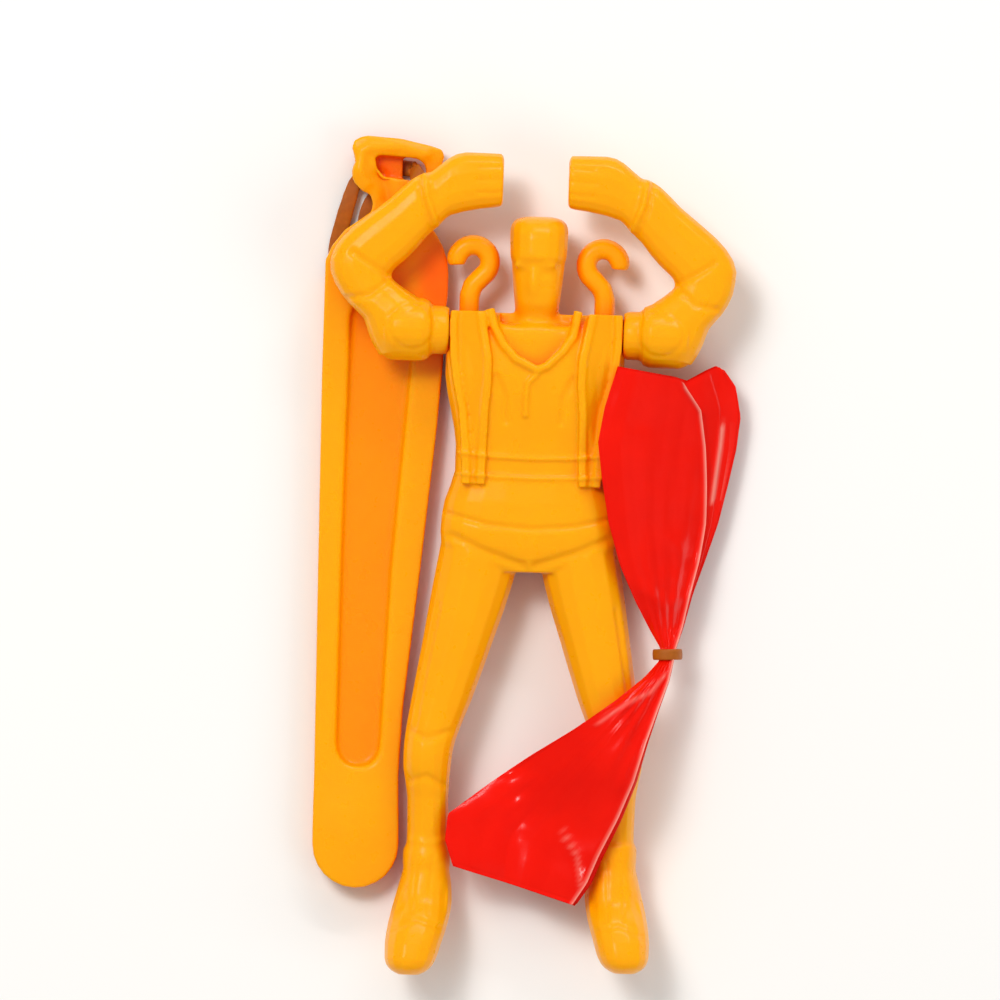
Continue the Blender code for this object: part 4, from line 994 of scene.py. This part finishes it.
class TOYSET_OT_stage(bpy.types.Operator):
    """Pale floor, soft lamps and the camera of the photograph"""

    bl_idname = "toyset.stage"
    bl_label = "Stage"

    def execute(self, context):
        colours = context.scene.toy_set_colours
        mesh = bpy.data.meshes.new("floor")
        corners = ((-1, -1), (1, -1), (1, 1), (-1, 1))
        places = [(FLOOR_REACH * x, FLOOR_REACH * y, 0) for x, y in corners]
        mesh.from_pydata(places, [], [(0, 1, 2, 3)])
        floor = link(bpy.data.objects.new("floor", mesh))
        floor.location.z = min(CAD_BOX[0][2], 0) - FLOOR_DROP
        floor.data.materials.append(floor_paper((*colours.floor, 1)))
        add_lamps()
        add_world()
        add_camera(context.scene)
        context.scene.view_settings.view_transform = "Standard"
        return {"FINISHED"}


def floor_paper(colour):
    """Matt white board, so pale that shadows on it keep the colour of what throws them."""
    surface = {"Base Color": colour, "Roughness": FLOOR_ROUGHNESS}
    return new_material("matt_white_board", surface)[0]


def add_lamps():
    """Two broad soft lamps, and two small ones that draw the highlights."""
    for name, place, size, power, highlights in LAMPS:
        lamp = bpy.data.lights.new(name, "AREA")
        lamp.shape = "RECTANGLE"
        lamp.size, lamp.size_y = size
        lamp.energy = power
        item = link(bpy.data.objects.new(name, lamp))
        item.location = place
        item.rotation_euler = (-Vector(place)).to_track_quat("-Z", "Y").to_euler()
        item.visible_glossy = highlights


def add_world():
    """Even pale surround, weak in highlights and white to the camera."""
    world = bpy.data.worlds.new("surround")
    world.use_nodes = True
    tree = world.node_tree
    background = tree.nodes["Background"]
    background.inputs["Color"].default_value = linear("#FFFFFF")
    rays = add_node(tree, "ShaderNodeLightPath")
    level = mapped(
        tree, rays.outputs["Is Glossy Ray"], To_Min=SURROUND_LIGHT, To_Max=SURROUND_IN_HIGHLIGHTS
    )
    seen = add_node(
        tree,
        "ShaderNodeMapRange",
        {"To Max": SURROUND_SEEN},
        {"Value": rays.outputs["Is Camera Ray"], "To Min": level},
    )
    tree.links.new(seen.outputs["Result"], background.inputs["Strength"])
    bpy.context.scene.world = world


def add_camera(scene):
    """Camera straight above the set, turned as the photograph is."""
    lens = bpy.data.cameras.new("camera")
    lens.lens = LENS_MM
    lens.sensor_width = SENSOR_MM
    lens.clip_start = CLIP_START
    item = link(bpy.data.objects.new("camera", lens))
    distance = VIEW_WIDTH * LENS_MM / SENSOR_MM
    item.location = (*VIEW_CENTER, distance)
    item.rotation_euler = (0, 0, math.radians(VIEW_TURN_DEG))
    scene.camera = item


class TOYSET_PT_panel(bpy.types.Panel):
    """Buttons and values of the set"""

    bl_idname = "TOYSET_PT_panel"
    bl_label = "Toy paratrooper set"
    bl_space_type = "VIEW_3D"
    bl_region_type = "UI"
    bl_category = "Toy set"

    def draw(self, context):
        for group in (context.scene.toy_set_sizes, context.scene.toy_set_colours):
            for name in group.__annotations__:
                self.layout.prop(group, name)
        for kind in OPERATORS:
            self.layout.operator(kind.bl_idname)


OPERATORS = (
    TOYSET_OT_figure,
    TOYSET_OT_arms,
    TOYSET_OT_hooks,
    TOYSET_OT_launcher,
    TOYSET_OT_rubber,
    TOYSET_OT_canopy,
    TOYSET_OT_stage,
)
CLASSES = (ToySetColours, ToySetSizes, *OPERATORS, TOYSET_PT_panel)


def register():
    """Add the classes and the scene's values."""
    for kind in CLASSES:
        bpy.utils.register_class(kind)
    bpy.types.Scene.toy_set_colours = bpy.props.PointerProperty(type=ToySetColours)
    bpy.types.Scene.toy_set_sizes = bpy.props.PointerProperty(type=ToySetSizes)


def unregister():
    """Take them away again."""
    del bpy.types.Scene.toy_set_sizes
    del bpy.types.Scene.toy_set_colours
    for kind in reversed(CLASSES):
        bpy.utils.unregister_class(kind)


def main():
    """Make every piece in order."""
    register()
    bpy.ops.toyset.figure()
    bpy.ops.toyset.arms()
    bpy.ops.toyset.hooks()
    bpy.ops.toyset.launcher()
    bpy.ops.toyset.rubber()
    bpy.ops.toyset.canopy()
    bpy.ops.toyset.stage()


if __name__ == "__main__":
    main()
